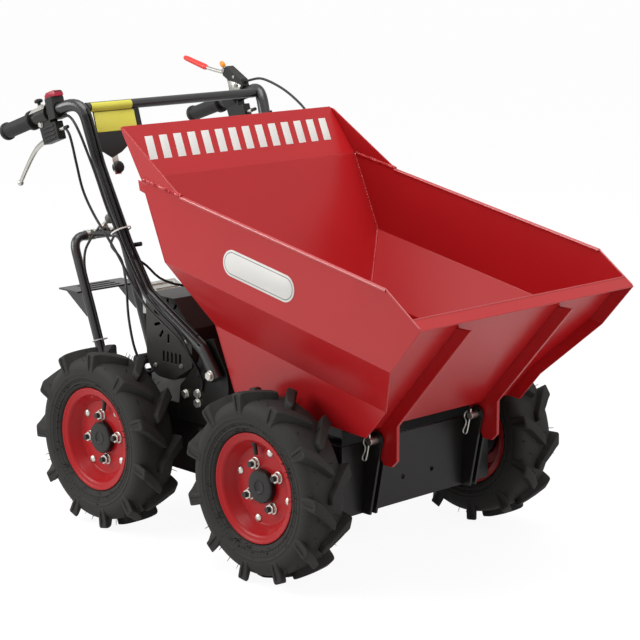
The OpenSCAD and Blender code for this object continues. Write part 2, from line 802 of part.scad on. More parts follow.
module handlebar_brackets() {
  color([0.12, 0.12, 0.12]) place() both_sides()
    translate([bar_foot_x, 0, 0])
      upright([[-152, 255], [-30, 255], [12, 300], [20, 350], [14, 384], [-30, 452], [-67, 442], [-80, 394],
        [-142, 331]], plate_out, foot_face);
}

// A flat plate below the crossbar, in the plane of the handlebar
module console_plate() {
  lean = atan(bar_drop[0] / -bar_drop[1]);
  top = -cross_d / 2 - seat_gap;
  color([0.12, 0.12, 0.12]) place() translate([cross_at[0], 0, cross_at[1]]) rotate([0, -lean, 0])
    translate([-cover_t / 2, 0, 0]) rotate([90, 0, 90]) linear_extrude(cover_t)
      polygon([[-236, top], [-105, top], [-105, -62], [-178, -108], [-208, -119], [-236, -100]]);
}

// Places a piece on a grip's axis, at a distance forward of the grip's rear end
module on_grip(d, side) {
  translate([grip_end[0], side * grip_y, grip_end[1]]) rotate([0, -grip_rise, 0]) translate([d, 0, 0]) children();
}

module grips() {
  end_d = bar_d + 18;
  body_d = bar_d + 9;
  color([0.1, 0.1, 0.1]) place() for (side = [LEFT, RIGHT]) on_grip(0, side) rotate([0, 90, 0]) difference() {
    union() {
      translate([0, 0, -4]) cylinder(d = end_d - 6, h = 14);
      cylinder(d = body_d, h = grip_len);
      translate([0, 0, grip_len - 10]) cylinder(d = end_d, h = 10);
    }
    cylinder(d = bar_d + 2 * seat_gap, h = grip_len + over);
  }
}

// The perches hang below both bars, and the left bar carries the clutch perch on top as well
module lever_perches() {
  clamp_at = 138;
  clamp_len = 42;
  bore_len = 90;
  half_t = 11;
  block = [[clamp_at, -10], [clamp_at + 48, -10], [clamp_at + 48, -24], [clamp_at + 65, -24],
    [clamp_at + 65, -66], [clamp_at + 5, -66]];
  clutch_block = [[163, 2], [200, 2], [217, 16], [216, 34], [175, 78], [156, 77], [152, 60], [165, 46]];
  color([0.13, 0.13, 0.13]) place() for (side = [LEFT, RIGHT]) on_grip(0, side) difference() {
    union() {
      translate([clamp_at, 0, 0]) rotate([0, 90, 0]) cylinder(d = bar_d + 14, h = clamp_len);
      upright(block, -half_t, half_t);
      if (side == LEFT) upright(clutch_block, -half_t, half_t);
    }
    translate([clamp_at - over, 0, 0]) rotate([0, 90, 0]) cylinder(d = bar_d + 2 * seat_gap, h = bore_len);
  }
}

// Both hand levers leave the backs of their perches
module hand_lever() {
  tip = [-358, grip_y, 733];
  path = [[-251.5, grip_y, 839.5], [-269.6, grip_y, 831.7], [-290, grip_y, 818], [-311, grip_y, 796],
    [-335, grip_y, 765], tip];
  color([0.8, 0.8, 0.78]) place() both_sides() {
    swept(flowing(path), 5.5, sides = 10);
    translate(tip) sphere(d = 15);
  }
}

module clutch_lever() {
  path = [[-280.3, grip_y, 962.4], [-294.6, grip_y, 961], [-347, grip_y, 968], [-395, grip_y, 979], lever_tip];
  color([0.8, 0.15, 0.12]) place() {
    swept(flowing(path), 5, sides = 10);
    translate(lever_tip) rotate([0, 0, 90]) sphere(r = lever_ball);
  }
}

module stop_switch() {
  switch_at = 190;
  len = 26;
  half_t = 18;
  above = 16;
  below = 6;
  cap = [38, 22, 12];
  color([0.75, 0.12, 0.15]) place() on_grip(switch_at, RIGHT) {
    difference() {
      translate([0, -half_t, -bar_r - below]) cube([len, 2 * half_t, bar_d + above + below]);
      translate([-over, 0, 0]) rotate([0, 90, 0]) cylinder(d = bar_d + 2 * seat_gap, h = len + 2 * over);
    }
    translate([-4, -cap[1] / 2, bar_r + above - over]) cube(cap);
  }
}

module guard_loop() {
  foot_z = bed_top + seat_gap - loop_lean[0] * loop_d / 2;
  route = [
    [-loop_foot, -loop_right, foot_z], [-loop_back, -loop_right, loop_top],
    [-loop_back, -loop_left, loop_top], [-loop_foot, -loop_left, foot_z]];
  cheek_low = shelf_z - shelf_t - cheek_h;
  cheek_in = loop_x(cheek_low) - loop_d / 2 / loop_lean[2] - seat_gap;
  slots = 3;
  color([0.13, 0.13, 0.13]) place() {
    swept(bent(route, [loop_bend, loop_bend], 6), loop_d / 2, loop_normal);
    difference() {
      translate([shelf_in - shelf_depth, -loop_right - 18, shelf_z - shelf_t])
        cube([shelf_depth + 2, loop_right - loop_left + 42, shelf_t]);
      for (k = [0:slots - 1])
        translate([shelf_in - shelf_depth + 12 + 20 * k, -loop_right + 24, shelf_z - shelf_t - over])
          cube([9, loop_right - loop_left - 48, shelf_t + 2 * over]);
    }
    for (y = [-loop_right, -loop_left])
      upright([[shelf_in - shelf_depth, shelf_z - shelf_t + over], [shelf_in + 2, shelf_z - shelf_t + over],
        [cheek_in + 2, cheek_low], [cheek_in - 8, cheek_low]], y - cheek_t / 2, y + cheek_t / 2);
  }
}

module gear_lever() {
  y = -(loop_right + loop_left) / 2 + 18;
  foot = [-loop_back, y, loop_top + loop_d / 2 + seat_gap];
  color([0.12, 0.12, 0.12]) place() translate(foot) {
    translate([-9, -9, 0]) cube([18, 18, 8]);
    translate([0, 0, 6]) rotate([0, 52, 0]) cylinder(d = 11, h = 30);
    translate([22, 0, 23]) rotate([0, 52, 0]) cylinder(d = 26, h = 38);
  }
}

// Routes of the control cables: right hand lever, stop switch, clutch, gear lever and engine
cable_d = 6;
cable_end = foot_face + cable_d / 2 + seat_gap;
cable_routes = [
  [[-197, -283, 870.1], [-183, -283, 874.8], [-167, -283, 864], [-155, -283, 838], [-143, -282, 798],
   [-124, -280, 740], [-90, -278, 690], [-40, -277, 640], [0, -277, 600], [40, -277, 552], [90, -277, 505],
   [150, -274, 470], [200, -271, 440], [226, -264, 408], [232, -250, 380], [230, -cable_end - 1, 352],
   [225, -cable_end, 330]],
  [[-193.3, -283, 900.5], [-178, -283.5, 904], [-158, -286, 902], [-138, -288, 890], [-120, -286, 864],
   [-104, -282, 830], [-78, -279, 780], [-38, -279, 706], [8, -279, 640], [50, -279, 580], [92, -277, 528],
   [140, -276, 492], [180, -273, 468], [206, -271, 446], [220, -268, 424], [222, -256, 402],
   [218, -cable_end - 1.2, 378], [214, -cable_end, 362]],
  [[-206.1, 283, 940.8], [-188, 283, 947.5], [-147, 285, 953], [-83, 285, 937], [-24, 281, 912], [22, 274, 884],
   [36, 270, 848], [24, 272, 790], [8, 277, 730], [8, 279, 680], [22, 279, 630], [50, 279, 580], [92, 277, 528],
   [140, 276, 492], [180, 273, 468], [206, 271, 446], [220, 268, 424], [222, 256, 402],
   [218, cable_end + 1.2, 378], [214, cable_end, 362]],
  [[-275, -122, 620], [-261, -140, 615], [-251, -165, 600], [-243, -188, 575], [-232, -199, 540],
   [-217, -200, 500], [-197, -200, 450], [-178, -200, 400], [-159, -200, 350], [-139, -200, 300],
   [-126, -200, 265], [-118, -200, 246]],
  [[-264.2, -92, 609.2], [-250, -93, 614], [-232, -108, 607], [-198, -146, 589], [-135, -166, 564],
   [-96, -185, 516], [-66, -204, 453], [-42, -213, 402], [-26, -215, 372], [-6, -215, 346], [16, -215, 335],
   [33, -215, 340], [43, -215, 350]]
];

module cables() {
  color([0.08, 0.08, 0.08]) place() for (route = cable_routes)
    swept(flowing(route, 2), cable_d / 2, sides = 8);
}

at_wheel(wheelbase, LEFT) tyre(LEFT, front_phase);  // tyre_front_left
at_wheel(wheelbase, RIGHT) tyre(RIGHT, front_phase);  // tyre_front_right
at_wheel(0, LEFT) tyre(LEFT, rear_phase);  // tyre_rear_left
at_wheel(0, RIGHT) tyre(RIGHT, rear_phase);  // tyre_rear_right
at_wheel(wheelbase, LEFT) rim();  // rim_front_left
at_wheel(wheelbase, RIGHT) rim();  // rim_front_right
at_wheel(0, LEFT) rim();  // rim_rear_left
at_wheel(0, RIGHT) rim();  // rim_rear_right
at_wheel(wheelbase, LEFT) hub();  // hub_front_left
at_wheel(wheelbase, RIGHT) hub();  // hub_front_right
at_wheel(0, LEFT) hub();  // hub_rear_left
at_wheel(0, RIGHT) hub();  // hub_rear_right
skip_side_left();
skip_side_right();
skip_rear();
skip_wings();
skip_front();
skip_floor();
skip_ribs();
chassis_sides();
front_plate();
hinge_brackets();
hinge_pins();
skip_rest();
engine_bed();
front_axle();
rear_axle();
gearbox();
engine_block();
fuel_tank();
muffler();
air_cleaner();
recoil_starter();
belt_cover();
handlebar_left();
handlebar_right();
crossbar();
handlebar_brackets();
console_plate();
grips();
lever_perches();
hand_lever();
clutch_lever();
stop_switch();
guard_loop();
gear_lever();
cables();
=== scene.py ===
"""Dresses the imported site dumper: finishes, lugged tyres, fasteners, controls and cables."""
import json
import math

import bmesh
import bpy
import numpy as np
from bpy.props import FloatProperty, FloatVectorProperty, IntProperty, PointerProperty
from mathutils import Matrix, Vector


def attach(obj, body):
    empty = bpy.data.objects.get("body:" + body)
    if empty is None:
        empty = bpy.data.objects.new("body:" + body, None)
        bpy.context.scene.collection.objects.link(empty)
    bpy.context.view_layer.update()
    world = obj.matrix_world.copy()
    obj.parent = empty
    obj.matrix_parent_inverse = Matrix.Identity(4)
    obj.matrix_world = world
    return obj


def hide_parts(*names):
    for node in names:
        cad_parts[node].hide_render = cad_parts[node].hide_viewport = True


bl_info = {
    "name": "Site dumper looks",
    "version": (1, 0, 0),
    "blender": (4, 5, 0),
    "location": "View3D > Sidebar > Dumper",
 
    "description": "Builds the finishes and fine pieces of a walk-behind site dumper around its packed frame",
    "category": "Object",
}

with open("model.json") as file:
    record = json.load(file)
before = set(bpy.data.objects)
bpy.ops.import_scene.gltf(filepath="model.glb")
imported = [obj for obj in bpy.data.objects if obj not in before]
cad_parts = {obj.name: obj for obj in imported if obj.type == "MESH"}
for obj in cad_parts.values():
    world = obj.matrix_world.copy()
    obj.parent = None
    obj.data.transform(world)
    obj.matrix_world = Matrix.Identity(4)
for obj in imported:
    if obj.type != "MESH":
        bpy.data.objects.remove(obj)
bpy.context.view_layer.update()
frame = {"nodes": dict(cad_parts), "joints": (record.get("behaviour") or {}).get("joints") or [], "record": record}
joint_places = {joint["name"]: np.array(joint["pos_m"]) for joint in frame["joints"]}
NODE_BODIES = {node: body for body, nodes in frame["record"]["behaviour"]["bodies"].items() for node in nodes}
NODE_SLOTS = {part["node"]: part["material_slot"] for part in frame["record"]["subparts"]}
REAR_AXLE = joint_places["rear_left_roll"] * (1, 0, 0)
AHEAD = np.array([1.0, 0.0, 0.0])
ACROSS = np.array([0.0, 1.0, 0.0])
UP = np.array([0.0, 0.0, 1.0])
LEFT = 1
RIGHT = -1
SIDES = (LEFT, RIGHT)
MM = 0.001
FOLD_CREASE = 9
ROUND_CREASE = 35


# Places and directions

def at(points):
    """Millimetres from the ground under the rear axle's middle, as metres in the part's frame."""
    return np.asarray(points, float) * MM + REAR_AXLE


def unit(vectors):
    """Vectors divided by their own lengths."""
    vectors = np.asarray(vectors, float)
    return vectors / np.linalg.norm(vectors, axis=-1, keepdims=True)


def swing(degrees):
    """A unit step in the side view, turned up from straight ahead by an angle."""
    turn = math.radians(degrees)
    return np.array([math.cos(turn), math.sin(turn)])


def square(step):
    """A step of the side view, turned up by a quarter."""
    return np.array([-step[1], step[0]])


def upright(point, across=0.0):
    """A point or step of the side view, set at a distance across the machine."""
    return np.array([point[0], across, point[1]])


def meet(p, u, q, v):
    """The point where the line from p along u crosses the line from q along v, in a plane."""
    gap = q - p
    return p + u * (gap[0] * v[1] - gap[1] * v[0]) / (u[0] * v[1] - u[1] * v[0])


def full_turn(count):
    """Angles of evenly spaced places round a circle."""
    return 2 * math.pi * np.arange(count) / count


def arc(radius, turn):
    """Points of a circle at the given angles."""
    return radius * np.stack([np.cos(turn), np.sin(turn)], -1)


def rounded(points, radii, steps=8):
    """A polyline whose inner corners become quadratic arcs of about the given radii."""
    points = np.asarray(points, float)
    s = np.linspace(0, 1, steps + 1)[:, None]
    runs = [points[:1]]
    for before, corner, after, radius in zip(points, points[1:], points[2:], radii):
        u, v = unit(before - corner), unit(after - corner)
        reach = radius / math.tan(math.acos(float(u @ v)) / 2)
        runs.append(corner + reach * ((1 - s) ** 2 * u + s ** 2 * v))
    return np.concatenate(runs + [points[-1:]])


def flowing(points, steps=6):
    """A Catmull-Rom curve through the points, whatever number of columns they have."""
    p = np.asarray(points, float)
    q = np.concatenate([p[:1], p, p[-1:]])
    s = np.linspace(0, 1, steps, endpoint=False)[None, :, None]
    a, b, c, d = (q[i:len(q) - 3 + i, None] for i in range(4))
    bend = 2 * a - 5 * b + 4 * c - d
    twist = 3 * b - a - 3 * c + d
    curve = 0.5 * (2 * b + (c - a) * s + bend * s ** 2 + twist * s ** 3)
    return np.concatenate([curve.reshape(-1, p.shape[1]), p[-1:]])


# Surfaces as grids of points: paths and places in metres, radii, profiles and outlines in millimetres

def tube(path, radius, side=ACROSS, around=24):
    """Circles carried along a path, each square to the run; radius is one value or one for each point."""
    path = np.asarray(path, float)
    run = unit(np.gradient(path, axis=0))
    a = unit(np.cross(run, side))
    b = np.cross(run, a)
    turn = full_turn(around)[None, :, None]
    ring = np.cos(turn) * a[:, None] + np.sin(turn) * b[:, None]
    return path[:, None] + np.reshape(radius, (-1, 1, 1)) * MM * ring


def lathe(profile, centre, axis, around=64, shape=None):
    """A profile of [radius, distance along the axis] turned about it; shape may bend a ring's radius."""
    profile = np.asarray(profile, float)
    axis = unit(axis)
    zero = unit(np.cross(axis, UP if abs(axis[2]) < 0.9 else AHEAD))
    turn = full_turn(around)
    radius = np.repeat(profile[:, :1], around, 1)
    if shape is not None:
        radius = shape(radius, turn[None])
    spoke = np.cos(turn)[:, None] * zero + np.sin(turn)[:, None] * np.cross(axis, zero)
    return centre + MM * (radius[..., None] * spoke + profile[:, None, 1:] * axis)


def inset(outline, depth):
    """A closed outline with every side moved in by depth."""
    out = np.stack([outline[:, 1], -outline[:, 0]], -1)
    normal = unit(np.roll(out, -1, 0) - out)
    before = np.roll(normal, 1, 0)
    area = np.sum(outline[:, 0] * np.roll(outline[:, 1], -1) - outline[:, 1] * np.roll(outline[:, 0], -1))
    corner = (normal + before) / (1 + np.sum(normal * before, 1, keepdims=True))
    return outline - math.copysign(depth, area) * corner


def plate(outline, origin, u, v, thick, edge=0.6):
    """An outline of [along u, along v] given thickness along u x v, with both rims chamfered."""
    outline = np.asarray(outline, float)
    near = edge * 0.3
    rows = [(edge, 0), (near, near), (0, edge), (0, thick - edge), (near, thick - near), (edge, thick)]
    flat = np.stack([inset(outline, pull) for pull, _ in rows])
    rise = np.array([height for _, height in rows])[:, None, None]
    return origin + MM * (flat[..., :1] * u + flat[..., 1:] * v + rise * np.cross(u, v))


def outward(outline, origin, along, rise, side, thick, edge):
    """A plate in an upright plane along the machine, thickened towards the given side."""
    return plate(np.array(outline) * (-side, 1), origin, -side * along, rise, thick, edge)


def stadium(length, width, corner, steps=8):
    """A rectangle's closed outline with round corners, whose straight sides never shrink to nothing."""
    corner = min(corner, 0.498 * width)
    turn = np.linspace(0, math.pi / 2, steps)
    arcs = []
    for k, (x, y) in enumerate(((1, 1), (-1, 1), (-1, -1), (1, -1))):
        middle = np.array([x * (length / 2 - corner), y * (width / 2 - corner)])
        arcs.append(middle + arc(corner, turn + k * math.pi / 2))
    return np.concatenate(arcs)


def hexagon(radius, turn):
    """A hexagon's radius at an angle, cut by the circle of the same profile step."""
    flat = 0.87 / np.cos((turn + math.pi / 6) % (math.pi / 3) - math.pi / 6)
    return radius * np.minimum(flat, 1)


class Skin:
    """Gathers grid surfaces into one closed mesh and makes it a piece."""

    def __init__(self):
        self.points = []
        self.faces = []
        self.count = 0

    def grid(self, rings, loop=False, caps=True):
        """Faces through rows of closed rings; loop joins the last row to the first, caps close the ends."""
        rows, around = rings.shape[:2]
        index = self.count + np.arange(rows * around).reshape(rows, around)
        here = index if loop else index[:-1]
        ahead = np.roll(index, -1, 0) if loop else index[1:]
        quads = np.stack([here, np.roll(here, -1, 1), np.roll(ahead, -1, 1), ahead], -1)
        self.faces += quads.reshape(-1, 4).tolist()
        if caps and not loop:
            self.faces += [index[0, ::-1].tolist(), index[-1].tolist()]
        self.points.append(rings.reshape(-1, 3))
        self.count += rows * around
        return self

    def turned(self, profile, centre, axis, around=24, shape=None):
        """Adds a lathed profile that starts and ends on its axis."""
        return self.grid(lathe(profile, centre, axis, around, shape), caps=False)

    def piece(self, name, body, finish, replaces=(), crease=ROUND_CREASE):
        """Makes the mesh, joins poles and seams, turns faces outwards and hangs it on its body."""
        mesh = bpy.data.meshes.new(name)
        mesh.from_pydata(np.concatenate(self.points).tolist(), [], self.faces)
        work = bmesh.new()
        work.from_mesh(mesh)
        bmesh.ops.remove_doubles(work, verts=work.verts, dist=1e-7)
        bmesh.ops.dissolve_degenerate(work, edges=work.edges, dist=1e-8)
        bmesh.ops.recalc_face_normals(work, faces=work.faces)
        work.to_mesh(mesh)
        work.free()
        return hang(name, mesh, body, finish, replaces, crease)


def hang(name, mesh, body, finish, replaces, crease):
    """Gives a mesh its finish, its shading and its place on a body."""
    mesh.shade_smooth()
    mesh.set_sharp_from_angle(angle=math.radians(crease))
    mesh.materials.append(FINISHES[finish])
    piece = bpy.data.objects.new(name, mesh)
    bpy.context.scene.collection.objects.link(piece)
    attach(piece, body)
    slot = SLOT_OF_FINISH.get(finish, finish)
    slot in NODE_SLOTS.values()
    if replaces:
        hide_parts(*replaces)
    return piece


def dressed(node, edge):
    """A copy of a CAD node with its triangles joined, its flat faces merged and its sharp edges rounded."""
    source = frame["nodes"][node].data
    co = np.empty(len(source.vertices) * 3)
    source.vertices.foreach_get("co", co)
    corners = np.empty(len(source.loops), np.int32)
    source.loops.foreach_get("vertex_index", corners)
    places, back = np.unique(np.round(co.reshape(-1, 3), 5), axis=0, return_inverse=True)
    mesh = bpy.data.meshes.new(node + "_dressed")
    mesh.from_pydata(places.tolist(), [], back.reshape(-1)[corners].reshape(-1, 3).tolist())
    work = bmesh.new()
    work.from_mesh(mesh)
    bmesh.ops.dissolve_degenerate(work, edges=work.edges, dist=1e-6)
    bmesh.ops.dissolve_limit(work, angle_limit=math.radians(0.8), verts=work.verts, edges=work.edges)
    work.to_mesh(mesh)
    work.free()
    finish = "tube_paint" if node in TUBES else NODE_SLOTS[node]
    crease = FOLD_CREASE if node.startswith("skip_") else ROUND_CREASE
    piece = hang(node + "_dressed", mesh, NODE_BODIES[node], finish, [node], crease)
    round_off = piece.modifiers.new("round_edges", "BEVEL")
    round_off.width = edge * MM
    round_off.segments = 2
    round_off.limit_method = "ANGLE"
    round_off.angle_limit = math.radians(crease)
    round_off.use_clamp_overlap = False
    round_off.harden_normals = True


# Finishes

class Signal:
    """One output socket of a look; arithmetic on it adds Math nodes."""

    def __init__(self, look, socket):
        self.look = look
        self.socket = socket

    def math(self, operation, other):
        return self.look.node("Math", {0: self, 1: other}, operation=operation)

    def __add__(self, other):
        return self.math("ADD", other)

    def __mul__(self, other):
        return self.math("MULTIPLY", other)

    def __or__(self, other):
        return self.math("MAXIMUM", other)

    __radd__ = __add__
    __rmul__ = __mul__


class Look:
    """The node tree of a material or of the world, in the making."""

    def __init__(self, owner):
        owner.use_nodes = True
        self.tree = owner.node_tree
        self.tree.nodes.clear()

    def node(self, kind, sockets=None, out=0, **settings):
        """Adds a node: its settings first, then the values or links of its sockets."""
        node = self.tree.nodes.new("ShaderNode" + kind)
        for name, value in settings.items():
            setattr(node, name, value)
        for name, value in (sockets or {}).items():
            if isinstance(value, Signal):
                self.tree.links.new(value.socket, node.inputs[name])
            else:
                node.inputs[name].default_value = value
        return Signal(self, node.outputs[out]) if node.outputs else None

    def noise(self, scale, detail, stretch=(1, 1, 1)):
        """Noise of a scale per metre, drawn out along the axes that stretch makes small."""
        place = self.node("TexCoord", out="Object")
        place = self.node("Mapping", {"Vector": place, "Scale": stretch})
        return self.node("TexNoise", {"Vector": place, "Scale": scale, "Detail": detail})

    def rays(self, *kinds):
        """Whether a ray is of each of the kinds."""
        return [self.node("LightPath", out=f"Is {kind} Ray") for kind in kinds]


def coat(colour, shades, cloud, grain, relief, rough, metal=0.0, gloss=0.5, brushed=False):
    """A clouded colour over a fine relief.

    Cloud and grain are a noise's scale and detail, shades the colour's share where the cloud is
    thin and thick, relief a depth in millimetres and a strength, and rough the least roughness and what the
    noise adds to it.
    """
    material = bpy.data.materials.new("finish")
    look = Look(material)
    clouds = look.noise(*cloud)
    grains = look.noise(*grain)
    thin, thick = (tuple(min(1.0, channel * share) for channel in colour) + (1,) for share in shades)
    depth, strength = relief
    least, more = rough
    shader = look.node("BsdfPrincipled", {
        "Base Color": look.node("Mix", {0: clouds, 6: thin, 7: thick}, out=2, data_type="RGBA"),
        "Metallic": metal,
        "Roughness": least + more * (grains if brushed else clouds),
        "Normal": look.node("Bump", {"Strength": strength, "Distance": depth * MM, "Height": grains}),
        "Specular IOR Level": gloss,
    })
    look.node("OutputMaterial", {"Surface": shader})
    return material


def enamel(colour, gloss, tone=1.0):
    """Glossy stove enamel over sheet steel: faint clouding and orange peel."""
    # A tone below 1 darkens the whole colour; the rims use it as painted shade.
    return coat(colour, (0.9 * tone, 1.08 * tone), (5, 3), (260, 1), (0.12, 0.5), (0.28, 0.08), gloss=gloss)


def powder_coat(colour, rough, gloss):
    """Powder coat: a fine pebbled skin with a satin sheen."""
    return coat(colour, (0.8, 1.25), (9, 3), (1100, 1), (0.1, 0.5), (rough, 0.1), gloss=gloss)


def rubber(colour, rough):
    """Moulded rubber: dull, slightly bloomed, with a fine skin."""
    return coat(colour, (0.75, 1.35), (22, 4), (700, 3), (0.25, 0.6), (rough, 0.16), gloss=DARK_GLOSS)


def plated(colour, rough, stretch=(1, 1, 1)):
    """Bright metal: zinc, polished alloy or brushed sheet, as the stretch says."""
    grain = (500, 2, stretch)
    return coat(colour, (0.82, 1.1), (60, 3), grain, (0.04, 0.5), (rough, 0.16), metal=1.0, brushed=True)


def casting(colour, rough, metal=0.0):
    """A sand casting: coarse grain under thin paint or bare alloy."""
    return coat(colour, (0.75, 1.2), (30, 4), (420, 3), (0.4, 0.6), (rough, 0.15), metal=metal)


def moulding(colour, rough, gloss=0.4):
    """Moulded plastic with a light spark texture."""
    return coat(colour, (0.9, 1.1), (14, 2), (1400, 1), (0.06, 0.5), (rough, 0.08), gloss=gloss)


DARK_GLOSS = 0.34
FINISHES = {}
SLOT_OF_FINISH = {"edge_paint": "red_paint", "rim_paint": "red_paint", "tube_paint": "black_paint"}


def make_finishes(colours):
    """Every finish of the machine, by its plain name."""
    FINISHES.update({
        "red_paint": enamel(colours.red, gloss=0.5),
        "edge_paint": enamel(colours.red, gloss=1.0),
        # The rims take the red enamel darkened to 0.88: painted shade for the recess inside the tyres.
        "rim_paint": enamel(colours.red, gloss=0.24, tone=0.88),
        "black_paint": powder_coat(colours.black, rough=0.3, gloss=DARK_GLOSS),
        "tube_paint": powder_coat(colours.black, rough=0.28, gloss=0.75),
        "dark_sheet": powder_coat(colours.cover, rough=0.38, gloss=DARK_GLOSS),
        "tyre": rubber(colours.tyre, rough=0.62),
        "grip_rubber": rubber(colours.grip, rough=0.5),
        "cable_jacket": moulding(colours.cable, rough=0.3, gloss=DARK_GLOSS),
        "black_plastic": moulding(colours.plastic, rough=0.36, gloss=DARK_GLOSS),
        "grey_plastic": moulding(colours.grey, rough=0.4),
        "pale_tie": moulding(colours.tie, rough=0.4),
        "crimson_plastic": moulding(colours.switch, rough=0.28),
        "zinc": plated(colours.zinc, rough=0.28),
        "lever_metal": plated(colours.alloy, rough=0.14),
        "heat_shield": plated(colours.shield, rough=0.3, stretch=(0.05, 1, 1)),
        "cast_housing": casting(colours.housing, rough=0.5),
        "engine_casting": casting(colours.engine, rough=0.45, metal=0.7),
        "red_plastic": moulding(colours.dip, rough=0.28),
        "orange_plastic": moulding(colours.orange, rough=0.28),
        "label": moulding(colours.label, rough=0.3),
        "white_vinyl": moulding(colours.vinyl, rough=0.3),
    })
    for name, material in FINISHES.items():
        material.name = name


# Settings

def colour_property(label, what, value):
    return FloatVectorProperty(
        name=label, description=what, subtype="COLOR", size=3, min=0, max=1, default=value)


class DumperColours(bpy.types.PropertyGroup):
    """Base colours of the finishes."""
    red: colour_property("Red paint", "Enamel of the skip and rims", (0.45, 0.0085, 0.0116))
    black: colour_property("Black paint", "Powder coat of the chassis and tubes", (0.0085, 0.0083, 0.0076))
    cover: colour_property("Cover", "Grey of the engine covers", (0.0293, 0.0278, 0.0244))
    tyre: colour_property("Tyre", "Rubber of the tyres", (0.0152, 0.0146, 0.0128))
    grip: colour_property("Grip", "Rubber of the grips", (0.011, 0.0107, 0.01))
    cable: colour_property("Cable", "Jackets of the cables", (0.0073, 0.0073, 0.0068))
    plastic: colour_property("Plastic", "Moulded black parts", (0.0122, 0.012, 0.011))
    grey: colour_property("Grey plastic", "Sleeve of the gear lever", (0.13, 0.13, 0.12))
    tie: colour_property("Ties", "Pale cable ties", (0.76, 0.74, 0.71))
    zinc: colour_property("Zinc", "Plating of nuts, bolts and pins", (0.63, 0.62, 0.57))
    alloy: colour_property("Alloy", "Polished levers", (0.56, 0.55, 0.51))
    shield: colour_property("Heat shield", "Sheet over the muffler", (0.61, 0.61, 0.57))
    housing: colour_property("Housing", "Painted axle and gear cases", (0.0171, 0.0171, 0.0159))
    engine: colour_property("Engine", "Bare castings of the engine", (0.20, 0.20, 0.19))
    dip: colour_property("Red dip", "Dipped sleeve of the clutch lever", (0.76, 0.0427, 0.0305))
    switch: colour_property("Switch", "Crimson rocker of the stop switch", (0.37, 0.0073, 0.0317))
    orange: colour_property("Orange", "Tip of the lock lever", (0.85, 0.29, 0.0122))
    label: colour_property("Label", "Blank yellow plate", (0.73, 0.68, 0.0915))
    vinyl: colour_property("Vinyl", "White of the stripes and the blank badge", (0.72, 0.71, 0.68))


class DumperTyres(bpy.types.PropertyGroup):
    """The tyres' tread and sidewalls."""
    lugs: IntProperty(name="Lugs", description="Lugs on each side of a tyre", default=11, min=7, max=15)
    lean: FloatProperty(name="Lean", description="How far a lug's inner end leads its shoulder",
                        subtype="DISTANCE", unit="LENGTH", default=0.05)
    hairs: IntProperty(name="Hairs", description="Moulding hairs on each tyre", default=220, min=0, max=400)


class DumperStage(bpy.types.PropertyGroup):
    """Camera, floor and studio light."""
    lens: FloatProperty(name="Lens", description="Focal length in mm", default=112.76, min=20, max=300)
    sky: FloatProperty(name="Sky", description="Strength of the room as light", default=0.33, min=0, max=3)
    glow: FloatProperty(
        name="Glow", description="White in the floor that is seen", default=0.82, min=0, max=1)
    key: FloatProperty(
        name="Key", description="Power of the key light", unit="POWER", default=90, min=0, max=2000)


# Wheels

WHEELS = {
    # side, turn of the tread and turn of the nuts in degrees
    "front_left": (LEFT, 23, 11), "front_right": (RIGHT, 23, -31),
    "rear_left": (LEFT, 4, 40), "rear_right": (RIGHT, 4, -9),
}
TYRE_HALF = 53.8
TYRE_REACH = 201.5
TYRE_SECTION = (
    # radius and distance outwards
    (102.2, 20), (102.2, 34), (104, 35.4), (115.6, 35.4), (117.4, 38), (121, 43.2), (125.4, 45), (127, 47),
    (129.6, 47.4), (131, 46.4), (135, 48), (138, 49.2), (139, 50.2), (140.4, 50.3), (141.4, 49.8),
    (146, 51),
    (148, 51.9), (149.4, 52), (150.6, 51.4), (159, 51.8), (167, 50.2), (174, 46.6), (179, 41.6),
    (182.6, 34),
    (185, 22), (186.3, 8),
)
LUG_STATIONS = (
    # top radius, top across, base radius, base across, lead, half top, half base, groove
    (197.5, -8, 183, -7, 1.1, 4, 8, 0),
    (201.0, -5, 183, -5, 1.04, 9, 13, 0),
    (201.5, 5, 183, 5, 0.84, 11.5, 15.5, 0),
    (201.5, 16, 183, 16, 0.6, 12.5, 16.5, 0),
    (201.4, 28, 181, 28, 0.36, 13, 17, 0),
    (201.0, 39, 177, 38, 0.15, 13, 17, 0),
    (200.0, 49, 172, 44, 0.02, 13, 17, 0),
    (197.0, 53.3, 168, 47, -0.03, 13, 16.5, 0.3),
    (190.0, 54, 163, 48.5, -0.05, 13, 16, 2.6),
    (178.0, 53.9, 159, 49.5, -0.06, 12.4, 15, 2.6),
    (166.0, 53.6, 156, 50, -0.07, 11.6, 13.5, 2.2),
    (157.0, 52.6, 153, 50, -0.07, 10.6, 11.6, 0),
)
LUG_SECTION = (
    # share of the half base, share of the half top, height, groove
    (-1, 0, 0, 0), (-0.3, -0.7, 0.72, 0), (0, -1, 0.96, 0), (0, -0.86, 1, 0), (0, -0.5, 1, 0),
    (0, -0.4, 1, 1), (0, 0.4, 1, 1), (0, 0.5, 1, 0), (0, 0.86, 1, 0), (0, 1, 0.96, 0), (0.3, 0.7, 0.72, 0),
    (1, 0, 0, 0),
)
RIB_COUNT = 84
RIB_MIDDLE = 134
RIB_HALF = 1.1
RIB_SUNK = (0, 0.8)
RIB_TOP = np.array([(131.5, 46.2), (131.9, 47.3), (137.1, 49.7), (137.5, 48.6)])
HAIR_ROWS = np.array([(121, 43), (126, 46), (133, 47.4), (146, 51), (176, 45), (184, 30), (186, 14)])
HAIR_RADII = np.array([1.0, 0.55])[:, None]
HAIR_LENGTHS = (6, 14)
OUTER_HAIRS = 0.6
